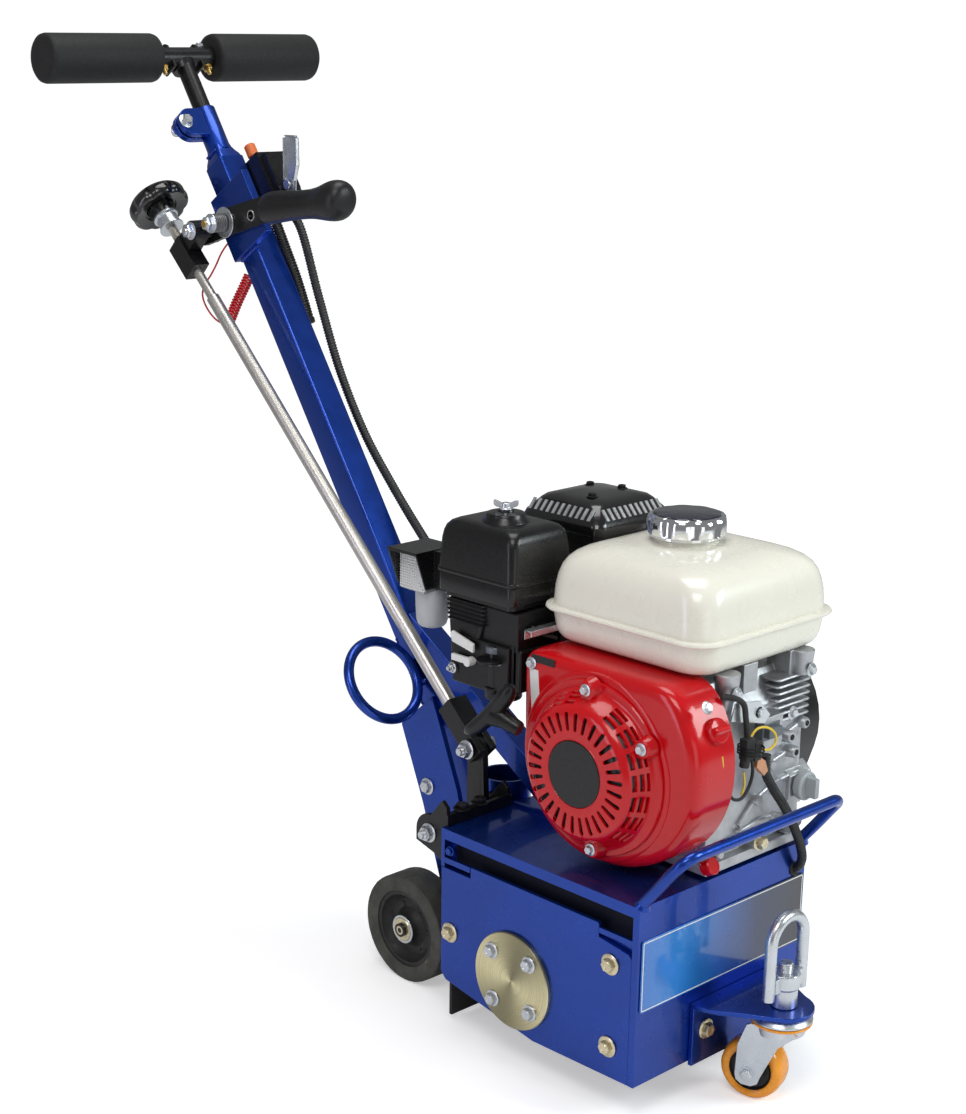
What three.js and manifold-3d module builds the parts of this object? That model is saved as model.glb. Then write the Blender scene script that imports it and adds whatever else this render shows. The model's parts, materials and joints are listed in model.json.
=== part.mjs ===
// Walk-behind pavement line machine: petrol engine over a cutting-drum housing, steering
// handle, lift linkage to two rear wheels, and a front swivel caster.
// Millimetres, +Z up. +X is the belt side, -X the starter side, -Y the front, +Y the operator.
// Working coordinates put zero at the front, starter-side, lower corner of the drum housing;
// the exported group is then shifted to the middle of the footprint on the ground.
import * as THREE from "three";
import { mergeVertices } from "three/addons/utils/BufferGeometryUtils.js";
import Module from "manifold-3d";
const wasm = await Module();
wasm.setup();

// ---------------------------------------------------------------- driving dimensions
const GROUND_Z = -41; // floor level in working coordinates
const FOOTPRINT = [132, 411.4]; // X and Y of the middle of the whole machine
const HOUSING_W = 264, HOUSING_D = 280, HOUSING_H = 195, SHEET = 5; // drum housing
const DRUM_Y = 168, DRUM_Z = 56.6, CUT_R = 71; // cutting drum axis and sweep radius
const CRANK_Y = 99.5, CRANK_Z = 304; // engine crankshaft axis
const DRUM_PULLEY_R = 40, CRANK_PULLEY_R = 35, GROOVE = 9; // V-belt drive
const PIVOT_Y = 305, PIVOT_Z = 180; // lift arm pivot
const WHEEL_Y = 391, WHEEL_R = 64, WHEEL_W = 40; // rear wheels
const LINK_PIN = [307, 261]; // clevis pin on the lift arm (y, z)
const LEVER_PIN = [794, 784]; // block pin on the lever (y, z)
const LEVER_PIVOT = [764, 794]; // lever pivot (y, z)
const ROD_X = 76; // plane of the lift rod
const TUBE_X = 132, TUBE_SIDE = 35.5; // square handle tube
const TUBE_FOOT = [461.2, 337]; // a point on the handle tube's axis (y, z)
const TUBE_LEAN = 33.745; // lean of the tube from vertical, degrees
const BAR_HALF = 198, GRIP_R = 28.5, BAR_S = 774; // T handle
const CASTER = [150, -65], CASTER_YAW = 17, CASTER_R = 33, CASTER_TRAIL = 25;
const GAP = 0.3;

// ---------------------------------------------------------------- solid helpers
const V = (x, y, z) => new THREE.Vector3(x, y, z);
function solid(geometry) {
  const flat = geometry.index ? geometry.toNonIndexed() : geometry;
  const g = new THREE.BufferGeometry().setAttribute("position", flat.getAttribute("position"));
  const m = mergeVertices(g, 1e-3);
  const src = m.index.array, keep = [];
  for (let i = 0; i < src.length; i += 3)
    if (src[i] !== src[i + 1] && src[i + 1] !== src[i + 2] && src[i] !== src[i + 2])
      keep.push(src[i], src[i + 1], src[i + 2]);
  const build = (t) => new wasm.Manifold(new wasm.Mesh({
    numProp: 3, vertProperties: m.attributes.position.array, triVerts: new Uint32Array(t) }));
  let s = build(keep);
  if (s.volume() < 0) {
    for (let i = 0; i < keep.length; i += 3) [keep[i + 1], keep[i + 2]] = [keep[i + 2], keep[i + 1]];
    s = build(keep);
  }
  return s;
}
const join = (...list) => list.flat().reduce((a, b) => a.add(b));
const cut = (a, ...list) => list.flat().reduce((x, y) => x.subtract(y), a);
const box = (x0, x1, y0, y1, z0, z1) => solid(new THREE.BoxGeometry(x1 - x0, y1 - y0, z1 - z0)
  .translate((x0 + x1) / 2, (y0 + y1) / 2, (z0 + z1) / 2));
// round bar between two points
function rod(a, b, r, sides = 16, r2 = r) {
  const d = V(...b).sub(V(...a)), len = d.length();
  const g = new THREE.CylinderGeometry(r2, r, len, sides);
  g.applyQuaternion(new THREE.Quaternion().setFromUnitVectors(V(0, 1, 0), d.normalize()));
  g.translate((a[0] + b[0]) / 2, (a[1] + b[1]) / 2, (a[2] + b[2]) / 2);
  return solid(g);
}
const rodX = (x0, x1, y, z, r, sides = 24, r2 = r) => rod([x0, y, z], [x1, y, z], r, sides, r2);
// revolve a [radius, distance] profile about an axis that starts at `at` and runs along `dir`
function turn(profile, at, dir, sides = 28) {
  const g = new THREE.LatheGeometry(profile.map(([r, h]) => new THREE.Vector2(r, h)), sides);
  g.applyQuaternion(new THREE.Quaternion().setFromUnitVectors(V(0, 1, 0), V(...dir).normalize()));
  g.translate(...at);
  return solid(g);
}
const shapeOf = (pts, holes = []) => {
  const s = new THREE.Shape(pts.map((p) => new THREE.Vector2(...p)));
  for (const h of holes) s.holes.push(new THREE.Path(h.map((p) => new THREE.Vector2(...p))));
  return s;
};
// extrude an outline along a main axis; outline is (y,z) for x, (x,z) for y, (x,y) for z
function prism(axis, pts, from, to, holes = []) {
  const g = new THREE.ExtrudeGeometry(shapeOf(pts, holes), { depth: to - from, bevelEnabled: false, curveSegments: 8 });
  const m = new THREE.Matrix4();
  if (axis === "x") m.set(0, 0, 1, from, 1, 0, 0, 0, 0, 1, 0, 0, 0, 0, 0, 1);
  else if (axis === "y") m.set(1, 0, 0, 0, 0, 0, -1, to, 0, 1, 0, 0, 0, 0, 0, 1);
  else m.set(1, 0, 0, 0, 0, 1, 0, 0, 0, 0, 1, from, 0, 0, 0, 1);
  return solid(g.applyMatrix4(m));
}
const circle = (cx, cy, r, n = 24, a0 = 0) => Array.from({ length: n }, (_, i) => {
  const a = a0 + (2 * Math.PI * i) / n;
  return [cx + r * Math.cos(a), cy + r * Math.sin(a)];
});
const arc = (cx, cy, r, d0, d1, n = 8) => Array.from({ length: n + 1 }, (_, i) => {
  const a = THREE.MathUtils.degToRad(d0 + ((d1 - d0) * i) / n);
  return [cx + r * Math.cos(a), cy + r * Math.sin(a)];
});
// rounded rectangle outline
function rounded(x0, x1, y0, y1, r, n = 4) {
  return [...arc(x1 - r, y1 - r, r, 0, 90, n), ...arc(x0 + r, y1 - r, r, 90, 180, n),
    ...arc(x0 + r, y0 + r, r, 180, 270, n), ...arc(x1 - r, y0 + r, r, 270, 360, n)];
}
// outline round two circles, as a belt lies
function beltLine(y1, z1, r1, y2, z2, r2, n = 14) {
  const d = Math.hypot(y2 - y1, z2 - z1), base = Math.atan2(z2 - z1, y2 - y1);
  const off = Math.acos((r1 - r2) / d), deg = THREE.MathUtils.radToDeg;
  return [...arc(y1, z1, r1, deg(base + off), deg(base - off) + 360, n),
    ...arc(y2, z2, r2, deg(base - off), deg(base + off), n)];
}
// tube of constant section along a smooth path
function sweep(points, r, steps, sides = 10) {
  const path = new THREE.CatmullRomCurve3(points.map((p) => V(...p)), false, "centripetal");
  const g = new THREE.ExtrudeGeometry(shapeOf(circle(0, 0, r, sides)), { steps, bevelEnabled: false, extrudePath: path });
  return solid(g);
}
// loft through closed outlines that all have the same number of points
function loft(rings) {
  const n = rings[0].length, pos = rings.flat().flat(), tri = [];
  for (let k = 0; k + 1 < rings.length; k++)
    for (let i = 0; i < n; i++) {
      const a = k * n + i, b = k * n + ((i + 1) % n), c = a + n, d = b + n;
      tri.push(a, b, d, a, d, c);
    }
  const cap = (k, flip) => {
    const pts = rings[k], mid = [0, 1, 2].map((j) => pts.reduce((s, p) => s + p[j], 0) / n), m = pos.length / 3;
    pos.push(...mid);
    for (let i = 0; i < n; i++) {
      const a = k * n + i, b = k * n + ((i + 1) % n);
      flip ? tri.push(b, a, m) : tri.push(a, b, m);
    }
  };
  cap(0, true);
  cap(rings.length - 1, false);
  const g = new THREE.BufferGeometry().setAttribute("position", new THREE.BufferAttribute(new Float32Array(pos), 3));
  g.setIndex(tri);
  return solid(g);
}
const level = (outline, z) => outline.map(([x, y]) => [x, y, z]);

// ---------------------------------------------------------------- materials
const mat = (color, roughness, metalness) => new THREE.MeshStandardMaterial({ color, roughness, metalness });
const blue = mat(0x10309a, 0.28, 0.45), red = mat(0xd01018, 0.25, 0.1), cream = mat(0xefead6, 0.3, 0.05);
const black = mat(0x141416, 0.45, 0.1), plastic = mat(0x1b1b1d, 0.55, 0), foam = mat(0x202124, 0.95, 0);
const zinc = mat(0xb9c0c4, 0.3, 0.9), gold = mat(0xc3a85c, 0.35, 0.85), steel = mat(0xaeb0ae, 0.35, 0.9);
const alu = mat(0x9b9ea3, 0.5, 0.8), rubber = mat(0x35372f, 0.85, 0), orange = mat(0xf08a10, 0.4, 0);
const chrome = mat(0xd8dadf, 0.08, 1), clear = mat(0xdfe3e6, 0.25, 0), tool = mat(0x55575a, 0.5, 0.8);
const redCord = mat(0xc81018, 0.4, 0), orangeButton = mat(0xe8641c, 0.45, 0), greyPlastic = mat(0x9ba0a4, 0.5, 0);

// ---------------------------------------------------------------- scene graph
const root = new THREE.Group();
root.position.set(-FOOTPRINT[0], -FOOTPRINT[1], -GROUND_Z);
function group(parent, at, yaw = 0) {
  const g = new THREE.Group(), p = parent.userData.at || [0, 0, 0];
  g.position.set(at[0] - p[0], at[1] - p[1], at[2] - p[2]);
  g.rotation.z = THREE.MathUtils.degToRad(yaw);
  g.userData.at = at;
  parent.add(g);
  return g;
}
const chassis = group(root, [0, 0, 0]);
const engine = group(root, [0, CRANK_Y, CRANK_Z]);
const handle = group(root, [TUBE_X, ...TUBE_FOOT]);
const lift = group(root, [0, PIVOT_Y, PIVOT_Z]);
const linkage = group(root, [ROD_X, ...LEVER_PIN]);
const drive = group(root, [0, DRUM_Y, DRUM_Z]);
function put(parent, name, s, material, local = false) {
  const m = s.getMesh(), n = m.numProp, at = local ? [0, 0, 0] : parent.userData.at;
  const pos = new Float32Array((m.vertProperties.length / n) * 3);
  for (let i = 0; i < pos.length / 3; i++)
    for (let j = 0; j < 3; j++) pos[i * 3 + j] = m.vertProperties[i * n + j] - at[j];
  const g = new THREE.BufferGeometry().setAttribute("position", new THREE.BufferAttribute(pos, 3));
  g.setIndex(new THREE.BufferAttribute(new Uint32Array(m.triVerts), 1));
  g.computeVertexNormals();
  const mesh = new THREE.Mesh(g, material);
  mesh.name = name;
  parent.add(mesh);
  return mesh;
}

// handle tube frame: s runs up the tube, n is square to it, forward and up
const LEAN = THREE.MathUtils.degToRad(TUBE_LEAN), TS = Math.sin(LEAN), TC = Math.cos(LEAN);
const on = (x, s, n = 0) => [x, TUBE_FOOT[0] + s * TS - n * TC, TUBE_FOOT[1] + s * TC + n * TS];
const sn = (s, n) => on(0, s, n).slice(1);
const plate = (pts, x0, x1, holes) => prism("x", pts.map(([s, n]) => sn(s, n)), x0, x1, holes);
const bar = (s0, s1, n0, n1, x0, x1) => plate([[s0, n0], [s1, n0], [s1, n1], [s0, n1]], x0, x1);

// ---------------------------------------------------------------- drum housing
const W = HOUSING_W, D = HOUSING_D, H = HOUSING_H;
put(chassis, "housing", cut(join(
  box(0, W, 0, D, H - SHEET, H), // deck
  box(0, W, 0, SHEET, 0, H), // front wall
  box(W - SHEET, W, 0, D, 0, H), // belt-side wall
  box(5.3, W, D - SHEET, D, 72, H), // rear wall, open below
  box(0, 4, 0, D, 183, H), // rolled deck edge
  box(0, 4.5, 0, 7.7, 0, H), // front corner bend
  box(0, 6, D - SHEET, D, 150.9, H), // rear corner bend
  box(0, 4, 236, D - 1, 156, 162.5), // rear lip of the side recess
  box(0, 4, 4, 51.5, 152, 158), // front lip of the side recess
  box(5.3, 18, 4, 9, 140, H - 1), // recess front end
  box(14, 18, 4, D - 1, 128, H - 1), // recess back panel
  box(5.3, 10.5, 4, 52, 4, 150), // front bolting flange
  box(5.3, 10.5, 236, D - 1, 30, 150), // rear bolting flange
  box(103, 109, 186, D - 4, H - 1, H + 4)), // engine adjusting rail
  rodX(W - 8, W + 2, DRUM_Y, DRUM_Z, 17, 20), // drum shaft passage
  rod([246, -1, 167.6], [246, 6, 167.6], 7.6, 14), // wiring hole above the plate
  box(112, 152, D - 8, D + 2, 126, 146)), blue); // suction opening
put(chassis, "side_plate", prism("x", [[8, 0], [140, -3], [272, 19], [279.5, 27], [279.5, 150.5], [235, 150.5],
  [235, 163], [54, 163], [52, 161], [52, 148], [12, 142], [8, 138]], 0, SHEET, [circle(DRUM_Y, DRUM_Z, 36, 28).reverse()]), blue);
put(chassis, "bearing_cap", cut(turn([[0, 0], [53.5, 0], [53.5, 4.2], [35.6, 4.2], [35.6, 18], [0, 18]], [-4.5, DRUM_Y, DRUM_Z], [1, 0, 0], 40),
  rodX(3, 20, DRUM_Y, DRUM_Z, 15.3)), gold);
put(chassis, "name_plate", prism("y", rounded(4.6, 261, 81, 158.5, 3, 2), -1.6, -GAP), blue);
put(chassis, "front_rail", sweep([[6.5, 3.5, 195.6], [6.5, -14, 217], [7, -32, 240], [10, -42, 252], [20, -46, 257.5], [36, -46.5, 258], [90, -46.5, 258],
  [174, -46.5, 258], [228, -46.5, 258], [244, -46, 257.5], [254, -42, 252], [257, -32, 240], [257.5, -14, 217], [257.5, 3.5, 195.6]], 6, 40, 8)
  .intersect(box(-20, 300, -80, 20, H + GAP, 300)), blue);
put(chassis, "caster_bracket", cut(join(
  prism("z", [[84, -GAP], [84, -12], [92, -30], [106, -50], ...arc(152, -63, 33, 200, 350, 12), [204, -30], [222, -12], [222, -GAP]], 60.5, 65.5),
  box(84, 222, -5.3, -GAP, -4, 65.5), prism("x", [[-5, -2], [-5, 62], [-34, 62], [-34, 55]], 205, 210)),
  rod([CASTER[0], CASTER[1], 50], [CASTER[0], CASTER[1], 70], 8.4, 16)), blue);
put(chassis, "rear_flap", box(18, 246, D + GAP, D + 4.5, -34, 59), rubber);
// suction outlet on a short box behind the rear wall
put(chassis, "vacuum_port", cut(join(rod([132, 316, 122], [132, 316, 214], 29, 32), box(104, 160, D + GAP, 316, 122, 150)),
  rod([132, 316, 126], [132, 316, 216], 26, 32), box(108, 156, D - 2, 316, 126, 146)), blue);

// ---------------------------------------------------------------- cutting drum and belt drive
put(drive, "drum_shaft", cut(rodX(5, 303, DRUM_Y, DRUM_Z, 15), rodX(296, 305, DRUM_Y, DRUM_Z, 5, 12)), steel);
const ROW_R = 48;
const rowAt = (k) => [DRUM_Y + ROW_R * Math.cos(0.5 + (k * 2 * Math.PI) / 3), DRUM_Z + ROW_R * Math.sin(0.5 + (k * 2 * Math.PI) / 3)];
const cage = join(rodX(30, 240, DRUM_Y, DRUM_Z, 24), rodX(30, 38, DRUM_Y, DRUM_Z, 62, 28), rodX(131, 139, DRUM_Y, DRUM_Z, 62, 28), rodX(232, 240, DRUM_Y, DRUM_Z, 62, 28));
put(drive, "drum_cage", cut(cage, rodX(20, 250, DRUM_Y, DRUM_Z, 15.3), [0, 1, 2].map((k) => rodX(25, 245, ...rowAt(k), 7.3, 12))), tool);
const star = (y, z, r, x0, x1) => prism("x", Array.from({ length: 12 }, (_, i) => {
  const a = (Math.PI * i) / 6, q = i % 2 ? r * 0.72 : r;
  return [y + q * Math.cos(a), z + q * Math.sin(a)];
}), x0, x1);
[0, 1, 2].forEach((k) => {
  const [y, z] = rowAt(k), discs = [];
  for (const [a, b] of [[39, 130], [140, 231]])
    for (let i = 0; i < 3; i++) discs.push(star(y, z, CUT_R - ROW_R, a + 6 + i * 30, a + 20 + i * 30));
  put(drive, "cutter_row_" + (k + 1), join(rodX(31, 239, y, z, 7, 12), discs), tool);
});
const pulley = (x, y, z, bore, r) => cut(turn([[0, 0], [r, 0], [r, 3], [r - GROOVE, 6], [r - GROOVE, 16], [r, 19], [r, 22], [0, 22]], [x, y, z], [1, 0, 0], 32),
  rodX(x - 5, x + 30, y, z, bore));
put(drive, "drum_pulley", pulley(277, DRUM_Y, DRUM_Z, 15.3, DRUM_PULLEY_R), steel);
put(engine, "engine_pulley", pulley(277, CRANK_Y, CRANK_Z, 10.3, CRANK_PULLEY_R), steel);
const beltAt = (off) => beltLine(CRANK_Y, CRANK_Z, CRANK_PULLEY_R + off, DRUM_Y, DRUM_Z, DRUM_PULLEY_R + off);
put(chassis, "drive_belt", prism("x", beltAt(-1), 283.4, 292.6, [beltAt(0.4 - GROOVE).reverse()]), rubber);
put(chassis, "belt_guard", cut(prism("x", beltLine(CRANK_Y + 10, CRANK_Z + 4, 84, DRUM_Y, DRUM_Z, 60, 18), 268.5, 310),
  prism("x", beltLine(CRANK_Y + 10, CRANK_Z + 4, 81.5, DRUM_Y, DRUM_Z, 57.5, 18), 271, 307.5),
  rodX(260, 275, CRANK_Y, CRANK_Z, 24), rodX(260, 275, DRUM_Y, DRUM_Z, 22)), black);

// ---------------------------------------------------------------- engine
const cylAxis = (d, h) => [CRANK_Y + d * 0.906 - h * 0.423, CRANK_Z + d * 0.423 + h * 0.906];
put(engine, "engine_block", cut(join(
  prism("x", [[16, 205], [178, 205], [192, 235], [192, 330], [160, 392], [26, 392], [6, 360], [4, 232]], 101, 250),
  prism("x", circle(CRANK_Y, CRANK_Z, 82, 32), 249, 262), // PTO side cover
  box(101, 250, 2, 186, 198, 209), // foot flange
  prism("x", [cylAxis(60, -52), cylAxis(212, -50), cylAxis(212, 44), cylAxis(60, 52)], 112, 232),
  prism("x", [cylAxis(205, -36), cylAxis(236, -32), cylAxis(236, 30), cylAxis(205, 34)], 128, 216), // head cover
  box(148, 170, 4, 30, 380, 410.2), box(222, 250, 4, 34, 380, 410.2), box(150, 245, 150, 176, 380, 410.2), // tank feet
  box(162, 192, -14, 12, 322, 356), // ignition coil
  prism("x", [[10, 235], [10, 285], [-2, 275], [-2, 252]], 226, 262)), // filler boss
  rodX(95, 266, CRANK_Y, CRANK_Z, 12.8),
  rod([244, -4, 263], [244, 8, 263], 10.3, 16)), alu);
put(engine, "crankshaft", join(rodX(44, 94, CRANK_Y, CRANK_Z, 16, 20), rodX(60, 84, CRANK_Y, CRANK_Z, 76, 32), rodX(90, 276.5, CRANK_Y, CRANK_Z, 12.5), rodX(276, 303, CRANK_Y, CRANK_Z, 10, 20)), steel);
// fan shroud: a pressed cover round the flywheel with a large opening for the starter
const shroudLine = (g) => [[206 - g, 402 - g], [196 - g, 407 - g], [14 + g, 408 - g], [-8 + g, 392 - g], [-27 + g, 352],
  ...arc(88, 318, 118 - g, 175, 350, 16), [206 - g, 330]];
put(engine, "fan_shroud", cut(prism("x", shroudLine(0), 40, 98), prism("x", shroudLine(3), 43, 100),
  rodX(35, 50, CRANK_Y, CRANK_Z, 82, 32), rod([76, -36, 372.1], [76, -3, 356.5], 13.3, 16)), red);
put(engine, "recoil_cover", cut(join(
  turn([[0, 0], [34, 0], [36, 1.5], [66, 1.5], [73, 6], [79, 14], [84, 27], [91, 27], [91, 31.6], [0, 31.6]], [8.1, CRANK_Y, CRANK_Z], [1, 0, 0], 40),
  rod([21, 158, 316], [20, 180, 324.4], 13, 16)),
  turn([[0, 0], [60, 0], [70, 6], [76, 14], [81, 25], [81, 36], [0, 36]], [12.6, CRANK_Y, CRANK_Z], [1, 0, 0], 40)), red);
const tankRing = (x0, x1, y0, y1, r, z) => level(rounded(x0, x1, y0, y1, r, 4), z);
put(engine, "fuel_tank", cut(join(
  loft([tankRing(84, 263, 9, 190, 26, 410.5), tankRing(76, 271, 1, 198, 28, 414), tankRing(71, 276, -4, 203, 28, 422), tankRing(69, 278, -6, 205, 28, 443.5)]),
  loft([tankRing(62, 285, -13, 212, 31, 443), tankRing(62, 285, -13, 212, 31, 448)]),
  loft([tankRing(69, 278, -6, 205, 28, 447), tankRing(70, 277, -5, 204, 28, 470), tankRing(74, 273, -1, 200, 30, 489), tankRing(82, 265, 7, 192, 32, 501), tankRing(98, 249, 23, 176, 34, 509), tankRing(116, 231, 41, 158, 28, 512.5)]),
  rod([180, 111, 505], [180, 111, 517], 33, 28)),
  loft([tankRing(87, 260, 12, 187, 24, 413), tankRing(73.5, 273.5, -1.5, 200.5, 26, 425), tankRing(73, 274, -2, 201, 26, 448), tankRing(73.5, 273.5, -1.5, 200.5, 26, 470), tankRing(78, 269, 3, 196, 28, 488), tankRing(87, 260, 12, 187, 30, 498.5), tankRing(100, 247, 25, 174, 32, 506), tankRing(118, 229, 43, 156, 26, 509.5)]),
  rod([180, 111, 500], [180, 111, 520], 24, 24)), cream);
const lobes = (r0, r1, n = 8, m = 5) => Array.from({ length: n * m }, (_, i) => {
  const a = (2 * Math.PI * i) / (n * m), r = r0 + (r1 - r0) * Math.pow(Math.abs(Math.cos((a * n) / 2)), 0.6);
  return [180 + r * Math.cos(a), 111 + r * Math.sin(a)];
});
put(engine, "fuel_cap", join(prism("z", lobes(36.5, 41), 521, 540.5), rod([180, 111, 517.4], [180, 111, 521.5], 38, 32),
  cut(rod([180, 111, 505], [180, 111, 518], 22, 20), rod([180, 111, 500], [180, 111, 515], 18, 20))), chrome);
const mufflerBox = (g) => loft([[180 + g, 269 - g, 233 + g, 316 - g, 12, 441 + g], [170 + g, 279 - g, 223 + g, 326 - g, 12, 452], [165 + g, 284 - g, 218 + g, 331 - g, 12, 505], [169 + g, 280 - g, 222 + g, 327 - g, 12, 519], [182 + g, 267 - g, 235 + g, 314 - g, 12, 529], [200 + g, 249 - g, 253 + g, 296 - g, 10, 534 - g]]
  .map(([x0, x1, y0, y1, r, z]) => level(rounded(x0, x1, y0, y1, r, 3), z)));
put(engine, "muffler", cut(join(mufflerBox(0), rod([205, 258, 434], [205, 258, 446], 15, 16)), mufflerBox(3), rodX(262, 292, 290, 478, 8, 12)), black);
put(engine, "air_cleaner_base", join(...[[42, 122, 222, 325, 8, 437, 443], [37, 127, 217, 330, 8, 443, 463.7]].map(([x0, x1, y0, y1, r, z0, z1]) => prism("z", rounded(x0, x1, y0, y1, r, 3), z0, z1)),
  box(60, 100, 300, 322, 441, 463)), plastic);
put(engine, "air_cleaner_cover", join(loft([[36, 128, 216, 331, 9, 464], [36, 128, 216, 331, 9, 470], [39, 125, 219, 328, 10, 509], [43, 121, 223, 324, 10, 517], [50, 114, 230, 317, 10, 521]]
  .map(([x0, x1, y0, y1, r, z]) => level(rounded(x0, x1, y0, y1, r, 3), z))), turn([[0, 0], [24, 0], [24, 5], [17, 10], [11, 12], [8, 15], [8, 22], [0, 22]], [79, 270, 519.5], [0, 0, 1], 20)), plastic);
// inlet hood behind the air cleaner, with a screen and bowl under it
const wing = [[35, 474], [64, 474], [64, 432], [50, 432]];
put(engine, "precleaner", join(box(64, 93, 330.4, 335, 434, 462), box(62, 95, 331.6, 406.3, 432, 474), box(35, 95, 360.5, 406.3, 471.5, 475), prism("y", wing, 360.5, 362.5), prism("y", wing, 404.3, 406.3)), plastic);
put(engine, "dust_cup", join(box(51.5, 61.6, 362.9, 403.9, 427, 471), box(51.5, 80, 362.9, 398, 427, 431.6), turn([[0, 0], [14, 0], [18, 4], [19, 46], [0, 46]], [76, 378, 384], [0, 0, 1], 20)), clear);
put(engine, "carburettor", join(box(44, 104, 215, 300, 352, 436.6), box(38, 60, 222, 306, 346, 400), rod([60, 250, 352], [60, 250, 336], 20, 18), box(98, 111.7, 232, 286, 366, 418)), plastic);
put(engine, "choke_lever", join(box(31, 35, 270, 300, 372, 379), rod([37.6, 274, 375.5], [28, 274, 375.5], 5, 12)), zinc);
const gripMid = [12, 217, 338.5], gripDir = [0.2, -0.915, -0.35], gripSide = [0, -0.682, 0.731];
const along = (o, d, k) => o.map((v, i) => v + d[i] * k);
put(engine, "recoil_grip", join(rod(along(gripMid, gripSide, -45), along(gripMid, gripSide, 45), 10.5, 14), rod(gripMid, along(gripMid, gripDir, 35), 12, 14, 8)), plastic);
put(engine, "engine_switch", join(rod([76, -26.4, 367.6], [76, -14, 361.7], 13, 18), rod([65, -28, 368.3], [87, -28, 368.3], 4.5, 8)), red);
put(engine, "dipstick", join(rod([244, 7, 263], [244, -4.3, 263], 10, 18), rod([244, -2.4, 263], [244, -12, 263], 15, 20), box(240.5, 247.5, -24, -11, 252, 274)), greyPlastic);

// ---------------------------------------------------------------- wiring conduits
put(chassis, "front_conduit", sweep([[165, -16, 318], [166, -15, 300], [178, -16, 280], [200, -17, 252], [222, -15, 222], [238, -12.5, 196], [243.5, -10.5, 182], [245.5, -6, 172], [246, 0, 167], [246, 6, 166]], 5, 30, 8), plastic);
put(handle, "long_conduit", sweep([on(165, 538, 40), [165, 709, 790], [165, 674, 708], [165, 637, 626], [165, 592, 556], [164, 545, 505], [160, 496, 462], [152, 448, 430], [144, 402, 407], [138, 366, 393], [134, 336, 388]], 5.5, 40, 8), plastic);

// ---------------------------------------------------------------- handle
const HT = TUBE_SIDE / 2;
const bracketPts = [[506, -20], [588, -20], [588, 54], [506, 54]];
const gusset = [[412, 286], [464, 240], [427, 153], [395, 60], [D + GAP, 60], [D + GAP, 115], [352, 118], [369, 183]];
put(handle, "handle_tube", cut(join(
  bar(-105, 628, -HT, HT, TUBE_X - HT, TUBE_X + HT),
  rod(on(TUBE_X, 622), on(TUBE_X, 650), 21.5, 20, 14.5), // weld collar
  rod(on(TUBE_X, 640), on(TUBE_X, 700), 14.4, 20), // stem sleeve
  plate([[663, -9.5], [699, -9.5], [699, 9.5], [663, 9.5]], 103, 122), // clamp ears
  rod(on(103, 681, -9.5), on(103, 681, 9.5), 18, 20),
  plate(bracketPts, 105, 115), // lever mounting plate
  rodX(66, 108, ...LEVER_PIVOT, 5, 14), // lever pivot stud
  prism("x", gusset, 108, 115), prism("x", gusset, 149, 156),
  box(108.5, 155.5, D + GAP, D + 5.3, 60, 115)), // foot pad on the rear wall
  bar(-120, 612, -HT + 3, HT - 3, TUBE_X - HT + 3, TUBE_X + HT - 3),
  rod(on(TUBE_X, 600), on(TUBE_X, 706), 11.2, 20),
  plate([[654, -1.5], [702, -1.5], [702, 1.5], [654, 1.5]], 70, 125)), blue);
// square strut from the deck to the front face of the handle tube
const strut = [[212, 195.3], [241, 195.3], sn(-40, HT + GAP), sn(30, HT + GAP), [212, 213]];
put(handle, "handle_brace", cut(prism("x", strut, 117, 147), prism("x", [[190, 190], [236, 190], sn(-34, 6), sn(22, 6), [190, 194]], 119.6, 144.4)), blue);
put(handle, "tie_ring", (() => {
  const g = new THREE.TorusGeometry(46.7, 6, 8, 30), m = new THREE.Matrix4();
  m.makeBasis(V(1, 0, 0), V(0, TS, TC), V(0, -TC, TS));
  m.setPosition(61.2, ...sn(-34.5, 0));
  return solid(g.applyMatrix4(m));
})(), blue);
put(handle, "switch_box", cut(join(bar(540, 612, 18, 50, 154, 186), bar(538, 618, 6, 40, 150.1, 172), bar(552, 572, 44, 68, 164, 170)), // with a lug for the hand lever
  rod(on(162, 600, 20), on(162, 622, 20), 4.6, 12), rodX(160, 175, ...sn(562, 59), 3.4, 12)), plastic);
put(handle, "stop_button", join(rod(on(162, 604, 20), on(162, 624, 20), 4.2, 12), rod(on(162, 623, 20), on(162, 639, 20), 7, 14)), orangeButton);
put(handle, "hand_lever", join(rodX(158, 174, ...sn(562, 59), 3, 12), prism("x", [[712, 829], [722, 826], [729, 831], [731, 842], [731, 891], [728, 894], [709, 894], [706, 891], [706, 860], [711, 842]], 158.5, 163.6)), zinc);
put(handle, "curly_lanyard", sweep([[126, 757, 731], [122, 762, 718], [115, 769, 698], [107, 774, 676]], 6, 8, 10), redCord);

// steering stem and T bar, sliding in the sleeve
put(handle, "steer_stem", join(rod(on(TUBE_X, 580), on(TUBE_X, BAR_S), 10.8, 20),
  rodX(TUBE_X - BAR_HALF + 3, TUBE_X + BAR_HALF - 3, ...sn(BAR_S, 0), 12.5, 20), bar(760, 788, -15, 9, 108, 156)), black);
const grip = (x0, x1, open) => cut(turn([[0, 0], [GRIP_R - 5, 0], [GRIP_R, 5], [GRIP_R, x1 - x0 - 5], [GRIP_R - 5, x1 - x0], [0, x1 - x0]], [x0, ...sn(BAR_S, 0)], [1, 0, 0], 28),
  rodX(x0 - 5, x1 + 5, ...sn(BAR_S, 0), 12.8, 20));
put(handle, "grip_near", grip(TUBE_X - BAR_HALF, 90), foam);
put(handle, "grip_far", grip(174, TUBE_X + BAR_HALF), foam);

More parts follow.
